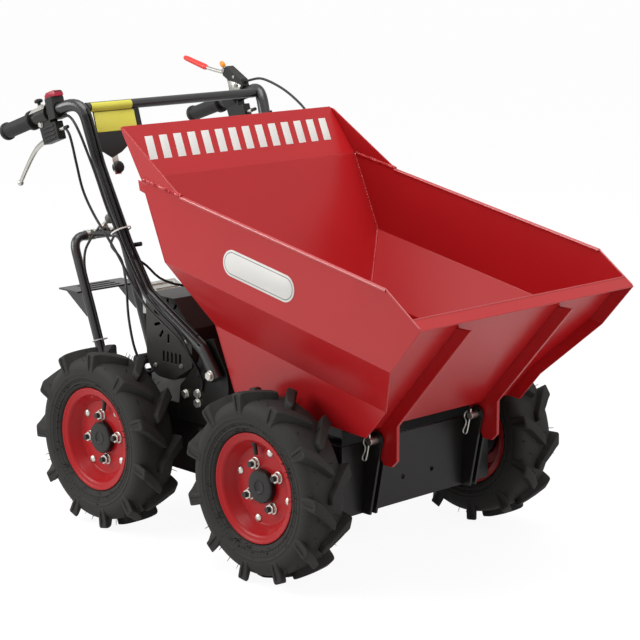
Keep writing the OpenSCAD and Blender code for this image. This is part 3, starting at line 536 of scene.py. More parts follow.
RIM_SECTION = (
    (35.4, 5), (35.4, 9), (76, 9), (82, 10), (85.2, 14), (88.5, 19), (95.5, 29), (98.6, 34), (102, 36.8),
    (108, 38.6), (112, 40.4), (114.6, 40.9), (116, 39.8), (115.8, 37.8), (112, 36.4), (106, 35.9),
    (102.4, 35),
    (101.4, 32), (101, 30), (96, 21), (89.6, 11), (89.4, 0), (89.6, -11), (96, -21), (101, -30),
    (101.4, -34.5),
    (106, -36.2), (112, -37), (116, -38.4), (116, -40.4), (113, -41), (100, -37), (97.4, -31), (85.6, -10),
    (85.4, 0), (83, 4), (78, 5),
)
HUB_SECTION = (
    (0, 24), (11, 24), (12, 24.6), (13, 26), (15, 26), (16, 24.8), (28, 24.4), (33, 23.6), (35, 21),
    (35, 4.7),
    (61, 4.7), (62, 3.7), (62, -4.3), (61, -5.3), (28, -5.3), (28, -69), (27, -70), (12.5, -70),
    (12.5, -154.5),
    (11.5, -155.5), (0, -155.5),
)
DISC_FACE = 9
NUT_CIRCLE = 50
STUD_R = 6.2
RIVET_CIRCLE = 75
RIVET = ((0, -1), (9, -1), (9, 0.6), (8, 2.6), (5.4, 4.2), (2, 4.9), (0, 5))
VALVE_TURN = 20
VALVE = np.array([(97, 22, 6), (90, 21, 5.5), (84, 20, 4), (80, 20, 4.6), (72, 20, 4.6), (66, 20, 4)])


def on_wheel(wheel, radius, across, angle):
    """Points of a wheel: radius and distance outwards in millimetres, angle from the top forwards."""
    radius, across, angle = np.broadcast_arrays(radius, across, angle)
    offset = np.stack([radius * np.sin(angle), WHEELS[wheel][0] * across, radius * np.cos(angle)], -1)
    return joint_places[wheel + "_roll"] + offset * MM


def wheel_ring(wheel, profile, around=96):
    """A profile of [radius, distance outwards] turned about a wheel's axle."""
    profile = np.asarray(profile, float)
    return on_wheel(wheel, profile[:, :1], profile[:, 1:], full_turn(around)[None])


def lug_shape(lean):
    """Radius, distance across and circumferential lead of a lug's grid, all in millimetres."""
    station = flowing(LUG_STATIONS, 3)[:, :, None]
    top_r, top_a, base_r, base_a, lead, half_top, half_base, groove = np.moveaxis(station, 1, 0)
    by_base, by_top, height, dip = np.array(LUG_SECTION).T[:, None]
    radius = np.minimum(base_r + height * (top_r - base_r), TYRE_REACH)
    across = np.minimum(base_a + height * (top_a - base_a) - dip * groove, TYRE_HALF)
    return radius, across, lead * lean + by_base * half_base + by_top * half_top


def add_tyre(wheel, settings):
    """The carcass is a turned section; lugs are swept blocks and hairs thin cones set into it."""
    phase = math.radians(WHEELS[wheel][1])
    skin = Skin()
    half = flowing(TYRE_SECTION, 3)
    section = np.concatenate([half, half[::-1] * (1, -1)])
    skin.grid(wheel_ring(wheel, section, 128), loop=True)
    radius, across, lead = lug_shape(settings.lean / MM)
    pitch = 2 * math.pi / settings.lugs
    crown = np.max(radius)
    for k in range(settings.lugs):
        for face in SIDES:
            start = phase + (k + 0.5 * (face < 0)) * pitch
            skin.grid(on_wheel(wheel, radius, face * across, start + lead / crown))
    add_ribs(skin, wheel)
    add_hairs(skin, wheel, settings.hairs)
    skin.piece("tyre_" + wheel + "_lugged", "wheel_" + wheel, "tyre", ["tyre_" + wheel], 40)


def add_ribs(skin, wheel):
    """A ring of short raised ribs on each sidewall, close to the rim."""
    radius, across = np.concatenate([RIB_TOP, (RIB_TOP - RIB_SUNK)[::-1]]).T[:, None]
    half = np.array([-RIB_HALF, RIB_HALF])[:, None] / RIB_MIDDLE
    for middle in full_turn(RIB_COUNT):
        for face in SIDES:
            skin.grid(on_wheel(wheel, radius, face * across, middle + half))


def add_hairs(skin, wheel, count):
    """Moulding hairs: thin cones at scattered places of the sidewalls, shoulders and tread."""
    draw = np.random.default_rng(11 + sum(map(ord, wheel)))
    pick = HAIR_ROWS[draw.integers(0, len(HAIR_ROWS), count)]
    face = np.where(draw.random(count) < OUTER_HAIRS, 1, -1)
    angle = draw.uniform(0, 2 * math.pi, count)
    length = draw.uniform(*HAIR_LENGTHS, count)
    flat = np.clip((pick[:, 0] - 150) / 30, 0, 1)
    tip_r = np.minimum(pick[:, 0] + length * flat + draw.uniform(-3, 3, count), TYRE_REACH - 0.5)
    tip_a = np.minimum(pick[:, 1] + length * (1 - 0.8 * flat), TYRE_HALF - 0.3)
    wide, high = HAIR_RADII * np.sin(full_turn(4)), HAIR_RADII * np.cos(full_turn(4))
    for k in range(count):
        spine_r = np.array([pick[k, 0] - 2 * flat[k], tip_r[k]])[:, None]
        spine_a = np.array([pick[k, 1] - 1.5, tip_a[k]])[:, None]
        ring_a = spine_a + high * flat[k]
        sway = angle[k] + wide / pick[k, 0]
        skin.grid(on_wheel(wheel, spine_r + high * (1 - flat[k]), face[k] * ring_a, sway))


def bolt_head(skin, base, axis, across, height):
    """A washer and a chamfered hexagon, stacked along the axis."""
    reach = across / math.sqrt(3)
    rim = reach * 1.16
    side = reach * 1.05
    top = height + 1.6
    washer = [(0, 0), (rim * 0.97, 0), (rim, 0.5), (rim, 1.9), (rim * 0.95, 2.3), (0, 2.3)]
    skin.turned(washer, base, axis, 30)
    body = [(0, 2), (reach, 2), (side, 2.8), (side, height), (reach * 0.9, top), (0, top)]
    skin.turned(body, base, axis, 36, hexagon)


def rod(skin, start, end, radius, chamfer=0.6):
    """A round bar between two points, with chamfered ends."""
    length = np.linalg.norm(end - start) / MM
    tip, shoulder = radius - chamfer, length - chamfer
    profile = [(0, 0), (tip, 0), (radius, chamfer), (radius, shoulder), (tip, length), (0, length)]
    skin.turned(profile, start, end - start)


def add_wheel(wheel, settings):
    """Tyre, rim, hub, nuts, rivets and valve of one wheel."""
    side, _, spin = WHEELS[wheel]
    body = "wheel_" + wheel
    out = ACROSS * side
    add_tyre(wheel, settings)
    rim = Skin().grid(wheel_ring(wheel, flowing(RIM_SECTION + RIM_SECTION[:1], 3)[:-1]), loop=True)
    # The rim's darker red is painted shade.
    rim.piece("rim_" + wheel + "_turned", body, "rim_paint", ["rim_" + wheel], 50)
    hub = Skin().grid(wheel_ring(wheel, HUB_SECTION, 64), caps=False)
    hub.piece("hub_" + wheel + "_turned", body, "black_paint", ["hub_" + wheel])
    bright = Skin()
    studs = Skin()
    for k in range(4):
        turn = math.radians(spin + 90 * k)
        seat = on_wheel(wheel, NUT_CIRCLE, DISC_FACE, turn)
        bolt_head(bright, seat, out, 19, 10)
        rod(studs, seat + out * 3 * MM, seat + out * 19 * MM, STUD_R)
        bright.turned(RIVET, on_wheel(wheel, RIVET_CIRCLE, DISC_FACE, turn + math.pi / 4), out)
    bright.piece("fasteners_" + wheel, body, "zinc")
    studs.piece("studs_" + wheel, body, "cast_housing")
    radius, across, thick = VALVE.T
    stem = on_wheel(wheel, radius, across, math.radians(spin + VALVE_TURN))
    Skin().grid(tube(stem, thick, ACROSS, 16)).piece("valve_" + wheel, body, "black_plastic")


class DUMPER_OT_wheels(bpy.types.Operator):
    """Builds the four lugged wheels"""
    bl_idname = "dumper.wheels"
    bl_label = "Wheels"

    def execute(self, context):
        for wheel in WHEELS:
            add_wheel(wheel, context.scene.dumper_tyres)
        return {"FINISHED"}


# Plates, castings and tubes kept in the frame's own shape

TUBES = ("crossbar", "guard_loop")
EDGES = {
    # radius of the rounded edges
    "skip_side_left": 1.0, "skip_side_right": 1.0, "skip_rear": 1.0, "skip_wings": 1.0, "skip_front": 1.0,
    "skip_floor": 0.6, "skip_ribs": 1.4, "chassis_sides": 1.0, "front_plate": 1.0, "hinge_brackets": 1.0,
    "hinge_pins": 0.8, "skip_rest": 1.0, "engine_bed": 1.0, "front_axle": 2.0, "rear_axle": 2.0,
    "gearbox": 5.0,
    "engine_block": 1.2, "fuel_tank": 5.0, "muffler": 1.0, "air_cleaner": 5.0, "recoil_starter": 2.5,
    "belt_cover": 1.0, "crossbar": 0.8, "handlebar_brackets": 1.0, "console_plate": 0.8,
    "lever_perches": 1.6,
    "stop_switch": 1.6, "guard_loop": 0.6,
}


class DUMPER_OT_plates(bpy.types.Operator):
    """Rounds the edges of the folded plates, castings, covers and tubes"""
    bl_idname = "dumper.plates"
    bl_label = "Plates and castings"

    def execute(self, context):
        for node, edge in EDGES.items():
            dressed(node, edge)
        return {"FINISHED"}


# Handlebars and controls

BAR_R = 14
GRIP_Y = 283
GRIP_LEN = 115
GRIP_END = np.array([-404.0, 849.0])
GRIP_DIR = swing(18.3)
GRIP_UP = square(GRIP_DIR)
GRIP_AXIS = upright(GRIP_DIR)
GRIP_NORMAL = upright(GRIP_UP)
STRAIGHT = GRIP_END + 226 * GRIP_DIR
BAR_NECK = np.array([-91.0, 796.0])
BAR_DROP = unit([40, -126])
SHOULDER = meet(GRIP_END, GRIP_DIR, BAR_NECK, BAR_DROP)
CROSSBAR = SHOULDER - 12 * BAR_DROP - 12 * GRIP_DIR + (8, -24)
CROSSBAR_R = 11
CONSOLE_UP = upright(-BAR_DROP)
CONSOLE_OUT = upright(square(BAR_DROP))
FOOT_FACE = 233
BAR_CORNERS = np.array([
    upright(GRIP_END, GRIP_Y), upright(STRAIGHT, GRIP_Y), upright(SHOULDER, 268), upright(BAR_NECK, 257),
    (0, 257, 634), (76, 257, 528), (246, 247.3, 430), (292, 247.3, 370),
])
BAR_BENDS = (60, 45, 120, 120, 60, 30)
GRIP_TAIL = (
    (0, -3), (15, -3), (16, -4), (19.6, -4), (20.6, -2.8), (21, -0.8), (21, 4), (20.2, 5.6), (18, 6.4),
)
GRIP_RIBS = tuple((17.2 + 0.35 * (k % 2), 9 + 1.9 * k) for k in range(47))
GRIP_COLLAR = (
    (17.4, 99), (17.8, 102), (21.6, 103.4), (23, 105), (23, 113.4), (21.8, GRIP_LEN), (0, GRIP_LEN),
)
LEVER_ROUTE = ((-251.5, 839.5), (-269.6, 831.7), (-290, 818), (-311, 796), (-335, 765), (-358, 733))
CLUTCH_ROUTE = ((-280.3, 962.4), (-294.6, 961), (-347, 968), (-395, 979), (-431, 988))
CLUTCH_STEPS = 10
BARE_STEPS = 20
CHEEK = ((166, 44), (188, 34), (211, 20), (200, 5), (170, 5))
LOCK_TIP = ((0, 10), (3, 11), (5.6, 15), (6.4, 20), (5.6, 25), (3.4, 29), (0, 30.4))
PERCH_RIB = ((44, -1.7), (44, 1.7), (2, 1.7), (2, -1.7))
PERCH_STRIP = np.array([(-26, -6.5), (32, -6.5), (32, 6.5), (-26, 6.5)])
THROTTLE_KNOB = ((0, 0), (4, 0), (4, 7), (9, 9), (10, 12), (9, 15), (5, 17), (0, 17.4))
ROCKER = ((-21, 0), (21, 0), (20, 9), (13, 14.5), (-13, 14.5), (-20, 9))
LABEL_ENDS = (-243, -128)


def on_grip(along, up, across=0.0, side=RIGHT):
    """A place by its distance along a grip's axis, above it and outwards from it, in millimetres."""
    return at(upright(GRIP_END + along * GRIP_DIR + up * GRIP_UP, side * (GRIP_Y + across)))


def bar_path(side):
    """A handlebar's middle line from its grip end to its foot on the bracket."""
    return at(rounded(BAR_CORNERS * (1, side, 1), BAR_BENDS))


def ball(skin, centre, radius):
    """A sphere as a turned half circle."""
    skin.turned(arc(radius, np.linspace(-math.pi / 2, math.pi / 2, 13)), centre, UP)


def in_hand(points, side):
    """Points of the side view placed at a grip's distance from the middle."""
    return at([upright(point, side * GRIP_Y) for point in points])


def add_bars():
    """The bent tubes from the grips to the brackets."""
    for side, name in ((LEFT, "handlebar_left"), (RIGHT, "handlebar_right")):
        bar = Skin().grid(tube(bar_path(side), BAR_R, ACROSS, 36))
        bar.piece(name + "_bent", "chassis", "tube_paint", [name])


def add_grips():
    """Ribbed rubber sleeves with a collar at the hand's front."""
    skin = Skin()
    for side in SIDES:
        skin.turned(GRIP_TAIL + GRIP_RIBS + GRIP_COLLAR, on_grip(0, 0, 0, side), GRIP_AXIS, 48)
    skin.piece("grips_ribbed", "chassis", "grip_rubber", ["grips"])


def add_hand_levers():
    """Polished levers with ball ends."""
    skin = Skin()
    for side in SIDES:
        path = flowing(in_hand(LEVER_ROUTE, side))
        skin.grid(tube(path, np.linspace(6.4, 4.6, len(path))))
        ball(skin, path[-1], 7.4)
    skin.piece("hand_levers_polished", "chassis", "lever_metal", ["hand_lever"])


def add_clutch_lever():
    """The dipped clutch lever with its bare shank, cheeks and lock."""
    path = flowing(in_hand(CLUTCH_ROUTE, LEFT), CLUTCH_STEPS)
    bare = Skin().grid(tube(path[:BARE_STEPS + 2], 4.6))
    for along, up, half, radius in ((158, 71, 13, 5), (190, 46, 12.5, 4)):
        rod(bare, on_grip(along, up, -half, LEFT), on_grip(along, up, half, LEFT), radius)
    last = len(path) - BARE_STEPS - 1
    swell = np.interp(np.arange(last + 1), (0, 2, 8, last - 2, last), (4.8, 7.6, 7.2, 6.6, 5.2))
    sleeve = Skin().grid(tube(path[BARE_STEPS:], swell))
    ball(sleeve, path[-1], 5.9)
    sleeve.piece("clutch_lever_sleeve", "chassis", "red_plastic", ["clutch_lever"])
    stalk, tip = in_hand([(-275, 966), (-299, 987.4)], LEFT)
    rod(bare, stalk, stalk + 0.5 * (tip - stalk), 1.8)
    for side in SIDES:
        face = at(upright(GRIP_END, GRIP_Y + side * 11))
        bare.grid(outward(CHEEK, face, GRIP_AXIS, GRIP_NORMAL, side, 1.6, 0.4))
        bolt_head(bare, on_grip(196, 24, side * 12.4, LEFT), ACROSS * side, 9, 4)
    bare.piece("clutch_lever_shank", "chassis", "lever_metal")
    lock = Skin().turned(flowing(LOCK_TIP, 3), stalk, tip - stalk)
    lock.piece("clutch_lock_tip", "chassis", "orange_plastic")


def add_perch_details():
    """Ribs, clamp screws, adjusters and the throttle knob on the perches."""
    ribs = Skin()
    bright = Skin()
    dark = Skin()
    for side in SIDES:
        for k in range(4):
            origin = on_grip(150, -32 - 9 * k, 10.5, side)
            ribs.grid(outward(PERCH_RIB, origin, GRIP_AXIS, GRIP_NORMAL, side, 2.2, 0.5))
        rod(bright, on_grip(203.2, -45, 0, side), on_grip(219, -45, 0, side), 5)
        rod(dark, on_grip(218, -45, 0, side), on_grip(232, -45, 0, side), 4.2)
        slope = unit(ACROSS * side + GRIP_NORMAL)
        fall = unit(ACROSS * side - GRIP_NORMAL)
        seat = on_grip(150, 14.4, 14.4, side)
        bright.grid(plate(PERCH_STRIP * (side, 1), seat, side * GRIP_AXIS, fall, 1.8, 0.4))
        for along in (166, 174):
            bolt_head(bright, on_grip(along, 14.8, 14.8, side), slope, 9, 5)
        bolt_head(bright, on_grip(150, -20, 10.6, side), ACROSS * side, 11, 4)
    dark.turned(flowing(THROTTLE_KNOB, 3), on_grip(152, 22, 6), GRIP_NORMAL)
    ribs.piece("perch_ribs", "chassis", "black_plastic")
    bright.piece("perch_fittings", "chassis", "zinc")
    dark.piece("perch_knobs", "chassis", "black_plastic")


def add_stop_switch():
    """The red rocker over the switch housing."""
    rocker = Skin().grid(plate(ROCKER, on_grip(205, 28.5, 11.8), GRIP_AXIS, GRIP_NORMAL, -23.6, -1.2))
    rocker.piece("stop_switch_rocker", "chassis", "crimson_plastic")


def add_label():
    """A blank yellow label round the crossbar and down the console plate."""
    turn = np.linspace(-0.9 * math.pi, 0.25 * math.pi, 25)
    ring = np.concatenate([arc(CROSSBAR_R + 0.5, turn), arc(CROSSBAR_R + 0.1, turn[::-1])])
    bend = ring[:, :1] * CONSOLE_OUT + ring[:, 1:] * CONSOLE_UP
    wrap = Skin().grid(np.stack([at(upright(CROSSBAR, y) + bend) for y in LABEL_ENDS]))
    face = at(upright(CROSSBAR, -178) - 36 * CONSOLE_UP + 1.6 * CONSOLE_OUT)
    wrap.grid(plate(stadium(114, 46, 3), face, ACROSS, CONSOLE_UP, 0.8, 0.2))
    wrap.piece("label_blank", "chassis", "label")


class DUMPER_OT_handlebars(bpy.types.Operator):
    """Builds the bars, grips, levers, switch and label"""
    bl_idname = "dumper.handlebars"
    bl_label = "Handlebars and controls"

    def execute(self, context):
        add_bars()
        add_grips()
        add_hand_levers()
        add_clutch_lever()
        add_perch_details()
        add_stop_switch()
        add_label()
        return {"FINISHED"}


# Skip

EDGE_DIR = swing(-10.7)
EDGE_AXIS = upright(EDGE_DIR)
EDGE_NORMAL = upright(square(EDGE_DIR))
FRONT_DIR = swing(90 - 40.5)
REAR_DIR = swing(90 + 23.9)
GUARD_DIR = swing(90 + 36.8)
CORNER_DIR = swing(-35.4)
FRONT_FOOT = np.array([731.0, 323.0])
REAR_FOOT = FRONT_FOOT - 397 * swing(-3.2)
SKIP_TIP = FRONT_FOOT + 352 * FRONT_DIR
SKIP_CORNER = SKIP_TIP - 114 * CORNER_DIR
REAR_TOP = meet(REAR_FOOT, REAR_DIR, SKIP_CORNER, EDGE_DIR)
WING_FRONT = REAR_TOP + 138 * EDGE_DIR
CHINE = FRONT_FOOT + 230 * FRONT_DIR
CREASE = FRONT_FOOT + 85 * FRONT_DIR
SKIP_HALF = 322
FLOOR_HALF = 236
SHEET = 3
WELD_INSET = 3.4
HEM_R = 4.2
LIP_R = 2.0
LIP_WIDTH = 29.6
LIP_SUNK = (0, 0.6)
REAR_TAB = ((1, -26), (22, -27.5), (22, -4), (-8, -5))
BADGE_LENGTH = 216
BADGE_WIDTH = 56
STRIPE = ((-11, -29), (11, -29), (24, 29), (2, 29))
STRIPE_COUNT = 14
STRIPE_FIRST = -266
STRIPE_PITCH = 40


def add_badge():
    """A blank white oval plate with a thin grey line inside its edge, on the right side."""
    middle = at((508, -SKIP_HALF + 0.2, 635))

    def oval(pull, thick, edge):
        outline = stadium(BADGE_LENGTH - pull, BADGE_WIDTH - pull, (BADGE_WIDTH - pull) / 2, 16)
        return outward(outline, middle, EDGE_AXIS, EDGE_NORMAL, RIGHT, thick, edge)

    white = Skin().grid(oval(0, 1.2, 0.3)).grid(oval(12, 1.5, 0.3))
    white.piece("badge_blank", "skip", "white_vinyl")
    Skin().grid(oval(9, 1.35, 0.1)).piece("badge_line", "skip", "grey_plastic")


def add_stripes():
    """A row of plain slanted bars across the guard's front face."""
    skin = Skin()
    middle = REAR_TOP + 70 * GUARD_DIR - SHEET * square(GUARD_DIR)
    for k in range(STRIPE_COUNT):
        spot = at(upright(middle, STRIPE_FIRST + STRIPE_PITCH * k))
        skin.grid(plate(STRIPE, spot, ACROSS, upright(GUARD_DIR), 0.4, 0.1))
    skin.piece("guard_stripes", "skip", "white_vinyl")


def bead(skin, start, end, radius, seed):
    """A weld bead: a thin rope of overlapping puddles along a seam."""
    start, end = at(start), at(end)
    count = max(8, int(np.linalg.norm(end - start) / (2.2 * MM)))
    s = np.linspace(0, 1, count)[:, None]
    draw = np.random.default_rng(seed)
    swell = radius * (1 + 0.16 * np.sin(np.arange(count) * 1.9) + 0.1 * draw.standard_normal(count))
    side = UP if abs(unit(end - start)[2]) < 0.8 else ACROSS
    skin.grid(tube(start + s * (end - start), np.clip(swell, 0.6, 1.3 * radius), side, 10))


def crossing(crease):
    """Where a crease of the side meets the rear plate's line in the side view."""
    return meet(REAR_FOOT, REAR_DIR, crease, EDGE_DIR)


def add_welds():
    """Beads along the wings' seams and in the corners where the skip's sheets meet."""
    skin = Skin()
    start = REAR_TOP + 8 * EDGE_DIR + (0, 1.5)
    for side in SIDES:
        seam, wide, low = side * np.array([SKIP_HALF - 1, SKIP_HALF - WELD_INSET, FLOOR_HALF - WELD_INSET])
        back = upright(REAR_FOOT + (4.5, 4.0), low)
        crease = upright(crossing(CREASE) + (3.6, 0), low)
        fold = upright(crossing(CHINE) + (3.6, 0), wide)
        top = upright(REAR_TOP + (4.4, -3), wide)
        bead(skin, upright(start, seam), upright(start + 128 * EDGE_DIR, seam), 4.6, 3)
        bead(skin, back, crease, 2.4, 5)
        bead(skin, crease, fold, 2.4, 6)
        bead(skin, fold, top, 2.6, 7)
    skin.piece("skip_welds", "skip", "red_paint")


def add_hems():
    """Rolled hems along the sides' top edges and the front lip, and a short tab behind each side."""
    skin = Skin()
    tabs = Skin()
    top = np.array([WING_FRONT - 4 * EDGE_DIR, SKIP_CORNER + EDGE_DIR]) - 0.55 * HEM_R * square(EDGE_DIR)
    slant = np.array([SKIP_CORNER, SKIP_TIP - 5 * CORNER_DIR]) - LIP_SUNK
    for side in SIDES:
        middle = side * (SKIP_HALF - SHEET / 2)
        for line, radius, around in ((top, HEM_R, 20), (slant, LIP_R, 16)):
            skin.grid(tube(at([upright(end, middle) for end in line]), radius, ACROSS, around))
        foot = at(upright(REAR_TOP, side * (SKIP_HALF - 2.5)))
        tabs.grid(outward(REAR_TAB, foot, EDGE_AXIS, EDGE_NORMAL, side, 2.8, 0.8))
    back = SKIP_TIP - LIP_WIDTH * CORNER_DIR - LIP_SUNK
    reach = SKIP_HALF - SHEET
    skin.grid(tube(at([upright(back, -reach), upright(back, reach)]), LIP_R, UP, 16))
    skin.piece("skip_hems", "skip", "edge_paint")
    tabs.piece("skip_tabs", "skip", "red_paint")


class DUMPER_OT_skip(bpy.types.Operator):
    """Adds the skip's blank badge, stripes, weld beads, hems and tabs"""
    bl_idname = "dumper.skip"
    bl_label = "Skip details"

    def execute(self, context):
        add_badge()
        add_stripes()
        add_welds()
        add_hems()
        return {"FINISHED"}


# Cables, latches and fasteners

LOOP_FOOT = np.array([-135.0, 242.0])
LOOP_TOP = np.array([-275.0, 605.0])
LOOP_R = 11
LOOP_LEG_Y = -200
PIN = np.array([688.0, 298.0])
CABLE_R = 3
CABLE_END = FOOT_FACE + 3.3
BAR_TAIL = (
    (50, 279, 580), (92, 277, 528), (140, 276, 492), (180, 273, 468), (206, 271, 446), (220, 268, 424),
    (222, 256, 402), (218, CABLE_END + 1.2, 378), (214, CABLE_END, 362),
)
CABLE_ROUTES = (
    # hand lever, stop switch, clutch, loop and gear cable, with distances to their own side
    (RIGHT, (
        (-197, 283, 870.1), (-183, 283, 874.8), (-167, 283, 864), (-155, 283, 838), (-143, 282, 798),
        (-124, 280, 740), (-90, 278, 690), (-40, 277, 640), (0, 277, 600), (40, 277, 552), (90, 277, 505),
        (150, 274, 470), (200, 271, 440), (226, 264, 408), (232, 250, 380), (230, CABLE_END + 1, 352),
        (225, CABLE_END, 330))),
    (RIGHT, (
        (-193.3, 283, 900.5), (-178, 283.5, 904), (-158, 286, 902), (-138, 288, 890), (-120, 286, 864),
        (-104, 282, 830), (-78, 279, 780), (-38, 279, 706), (8, 279, 640), *BAR_TAIL)),
    (LEFT, (
        (-206.1, 283, 940.8), (-188, 283, 947.5), (-147, 285, 953), (-83, 285, 937), (-24, 281, 912),
        (22, 274, 884), (36, 270, 848), (24, 272, 790), (8, 277, 730), (8, 279, 680),
        (22, 279, 630), *BAR_TAIL)),
    (RIGHT, (
        (-275, 122, 620), (-261, 140, 615), (-251, 165, 600), (-243, 188, 575), (-232, 199, 540),
        (-217, 200, 500), (-197, 200, 450), (-178, 200, 400), (-159, 200, 350), (-139, 200, 300),
        (-126, 200, 265), (-118, 200, 246))),
    (RIGHT, (
        (-264.2, 92, 609.2), (-250, 93, 614), (-232, 108, 607), (-198, 146, 589), (-135, 166, 564),
        (-96, 185, 516), (-66, 204, 453), (-42, 213, 402), (-26, 215, 372), (-6, 215, 346), (16, 215, 335),
        (33, 215, 340), (43, 215, 350))),
)
STRAP_R = 2.8
STRAPPED = (
    # side, angle from the bar's outer face forwards, start and end along the bar
    (RIGHT, 62, 300, 650), (RIGHT, 88, 290, 905), (RIGHT, 36, 300, 930), (LEFT, 30, 330, 905),
)
THROTTLE_TAIL = (
    (45, -238, 585), (68, -220, 558), (90, -192, 543), (104, -160, 536), (110, -130, 528), (111, -108, 514),
    (111, -102, 500),
)
TIE_AT = 575
CONSOLE_KNOB = ((0, -2), (6, -2), (6, 3), (12, 4), (14, 8), (14, 14), (11, 18), (0, 18.6))
CONSOLE_STRAP = ((-9, -42), (9, -42), (9, 12), (-9, 12))
PIN_CLIP = (
    (1, 15), (0, 4), (-3, -12), (-7, -30), (-11, -41), (-18, -43), (-20, -36), (-14, -24), (-12, -14),
    (-17, -6), (-15, 3), (-9, 9),
)
PIN_CLIP_Y = (-182.5, 123.5)
GEAR_SLEEVE = ((0, 0), (9.6, 0), (11.4, 1.2), (12.2, 4), (11.2, 16), (9.6, 20), (0, 20))
GEAR_KNOB = ((0, 14), (8, 15), (11.6, 18), (13, 24), (12.4, 30), (9.6, 35), (5, 37.6), (0, 38))


def add_cables():
    """Jacketed control cables along their clipped routes."""
    skin = Skin()
    for side, route in CABLE_ROUTES:
        skin.grid(tube(flowing(at(np.array(route) * (1, side, 1)), 8), CABLE_R, ACROSS, 14))
    skin.piece("cables_jacketed", "chassis", "cable_jacket", ["cables"])


def round_bar(side, along):
 
    """Points of a handlebar's middle line by distance from its grip end, with outward and forward normals."""
    line = bar_path(side)
    gone = np.concatenate([[0], np.cumsum(np.linalg.norm(np.diff(line, axis=0), axis=1))])
    places = np.stack([np.interp(along * MM, gone, line[:, k]) for k in range(3)], -1)
    run = unit(np.gradient(places, axis=0))
    out = np.broadcast_to(ACROSS * side, run.shape)
    out = unit(out - np.sum(out * run, -1, keepdims=True) * run)
    return places, out, np.cross(out, run) * -side


def strapped(side, degrees, start, stop):
    """The middle line of a cable held against a handlebar, at an angle from its outer side forwards."""
    places, out, ahead = round_bar(side, np.arange(start, stop, 12.0))
    from_out, from_ahead = swing(degrees)
    return places + (BAR_R + STRAP_R) * MM * (from_out * out + from_ahead * ahead)


def add_strapped_cables():
    """More cables along the bars: one turns off to the engine, the others end at the brackets."""
    skin = Skin()
    throttle, *others = (strapped(*place) for place in STRAPPED)
    for run in (np.concatenate([throttle, at(THROTTLE_TAIL)]), *others):
        skin.grid(tube(flowing(run, 3), STRAP_R, ACROSS, 12))
    skin.piece("cables_strapped", "chassis", "cable_jacket")


def band(skin, centre, first, second, reach, width, thick=1.1):
    """A closed strap: its radius round two directions is reach(angle), in millimetres."""
    turn = full_turn(48)
    radius = reach(turn)[:, None] + np.array([0, thick, thick, 0])
    spoke = np.cos(turn)[:, None] * first + np.sin(turn)[:, None] * second
    shift = np.array([-width, -width, width, width])[:, None] * np.cross(first, second)
    skin.grid(centre + MM * (radius[..., None] * spoke[:, None] + shift), loop=True)


def bulge(low, high, middle):
    """A strap's radius: low all round, swelling to high about one angle in degrees."""
    return lambda turn: low + (high - low) * np.clip(0.6 + 0.9 * np.cos(turn - math.radians(middle)), 0, 1)


def add_ties():
    """Pale ties round the bars with their cables and the loop's leg; zinc bands paint a highlight on the loop's
    top.
    """
    ties = Skin()
    for side in SIDES:
        places, out, ahead = round_bar(side, TIE_AT + np.array([-4.0, 0, 4.0]))
        band(ties, places[1], out[1], ahead[1], bulge(BAR_R + 0.4, 26, 30), 1.6)
    leg = LOOP_TOP - LOOP_FOOT
    across = -upright(square(unit(leg)))
    place = at(upright(LOOP_FOOT + 0.36 * leg, LOOP_LEG_Y))
    band(ties, place, across, ACROSS, bulge(LOOP_R + 0.4, 21.4, 0), 1.2)
    ties.piece("cable_ties", "chassis", "pale_tie")
    # Zinc bands round the loop's top, where the tube shows a bright sheen: a painted highlight.
    highlight_bands = Skin()
    for y, width in ((-158, 5), (-140, 3), (-92, 4)):
        band(highlight_bands, at(upright(LOOP_TOP, y)), AHEAD, UP, bulge(LOOP_R, LOOP_R + 0.6, 90), width, 1.4)
    highlight_bands.piece("loop_highlight_bands", "chassis", "zinc")


def add_latches():
    """A lock rod from the loop, a knob under the console plate and a peg on the right bar."""
    dark = Skin()
    rod(dark, at((-266, -149, 607)), at((-160, -149, 621)), 6.5, 2)
    rod(dark, at((8, -246, 627)), at((26, -234, 631)), 5, 1.5)
    dark.turned(flowing(CONSOLE_KNOB, 3), at((-112, -196, 783)), CONSOLE_OUT, 28)
    dark.piece("latch_rods", "chassis", "black_plastic")
    back = at((-106.5, -200, 812)) - 3.2 * MM * CONSOLE_OUT
    strap = Skin().grid(plate(CONSOLE_STRAP, back, ACROSS, CONSOLE_UP, 1.6))
    strap.piece("latch_strap", "chassis", "zinc")


def add_fasteners():
    """Bolts of the handlebar brackets, the belt cover's screws and the oil plug."""
    bright = Skin()
    for side in SIDES:
        for x, z in ((170, 314.6), (210.7, 322), (210.3, 300.5)):
            bolt_head(bright, at((x, side * FOOT_FACE, z)), ACROSS * side, 15, 6)
        bolt_head(bright, at((285, side * 260.6, 379)), ACROSS * side, 17, 7)
    for x, z in ((52, 505), (168, 430), (60, 360), (150, 372)):
        bolt_head(bright, at((x, -228, z)), -ACROSS, 8, 3.5)
    bright.piece("chassis_fasteners", "chassis", "zinc")
    plug = Skin()
    rod(plug, at((-51, -120, 347)), at((-51, -196, 347)), 12.5, 2)
    plug.piece("oil_filler", "chassis", "black_plastic")


def add_pin_clips():
    """Spring clips through the tails of the hinge pins."""
    skin = Skin()
    for y in PIN_CLIP_Y:
        route = at([upright(PIN + step, y) for step in PIN_CLIP])
        skin.grid(tube(flowing(route, 5), 1.7, ACROSS, 10))
    skin.piece("pin_clips", "chassis", "zinc")


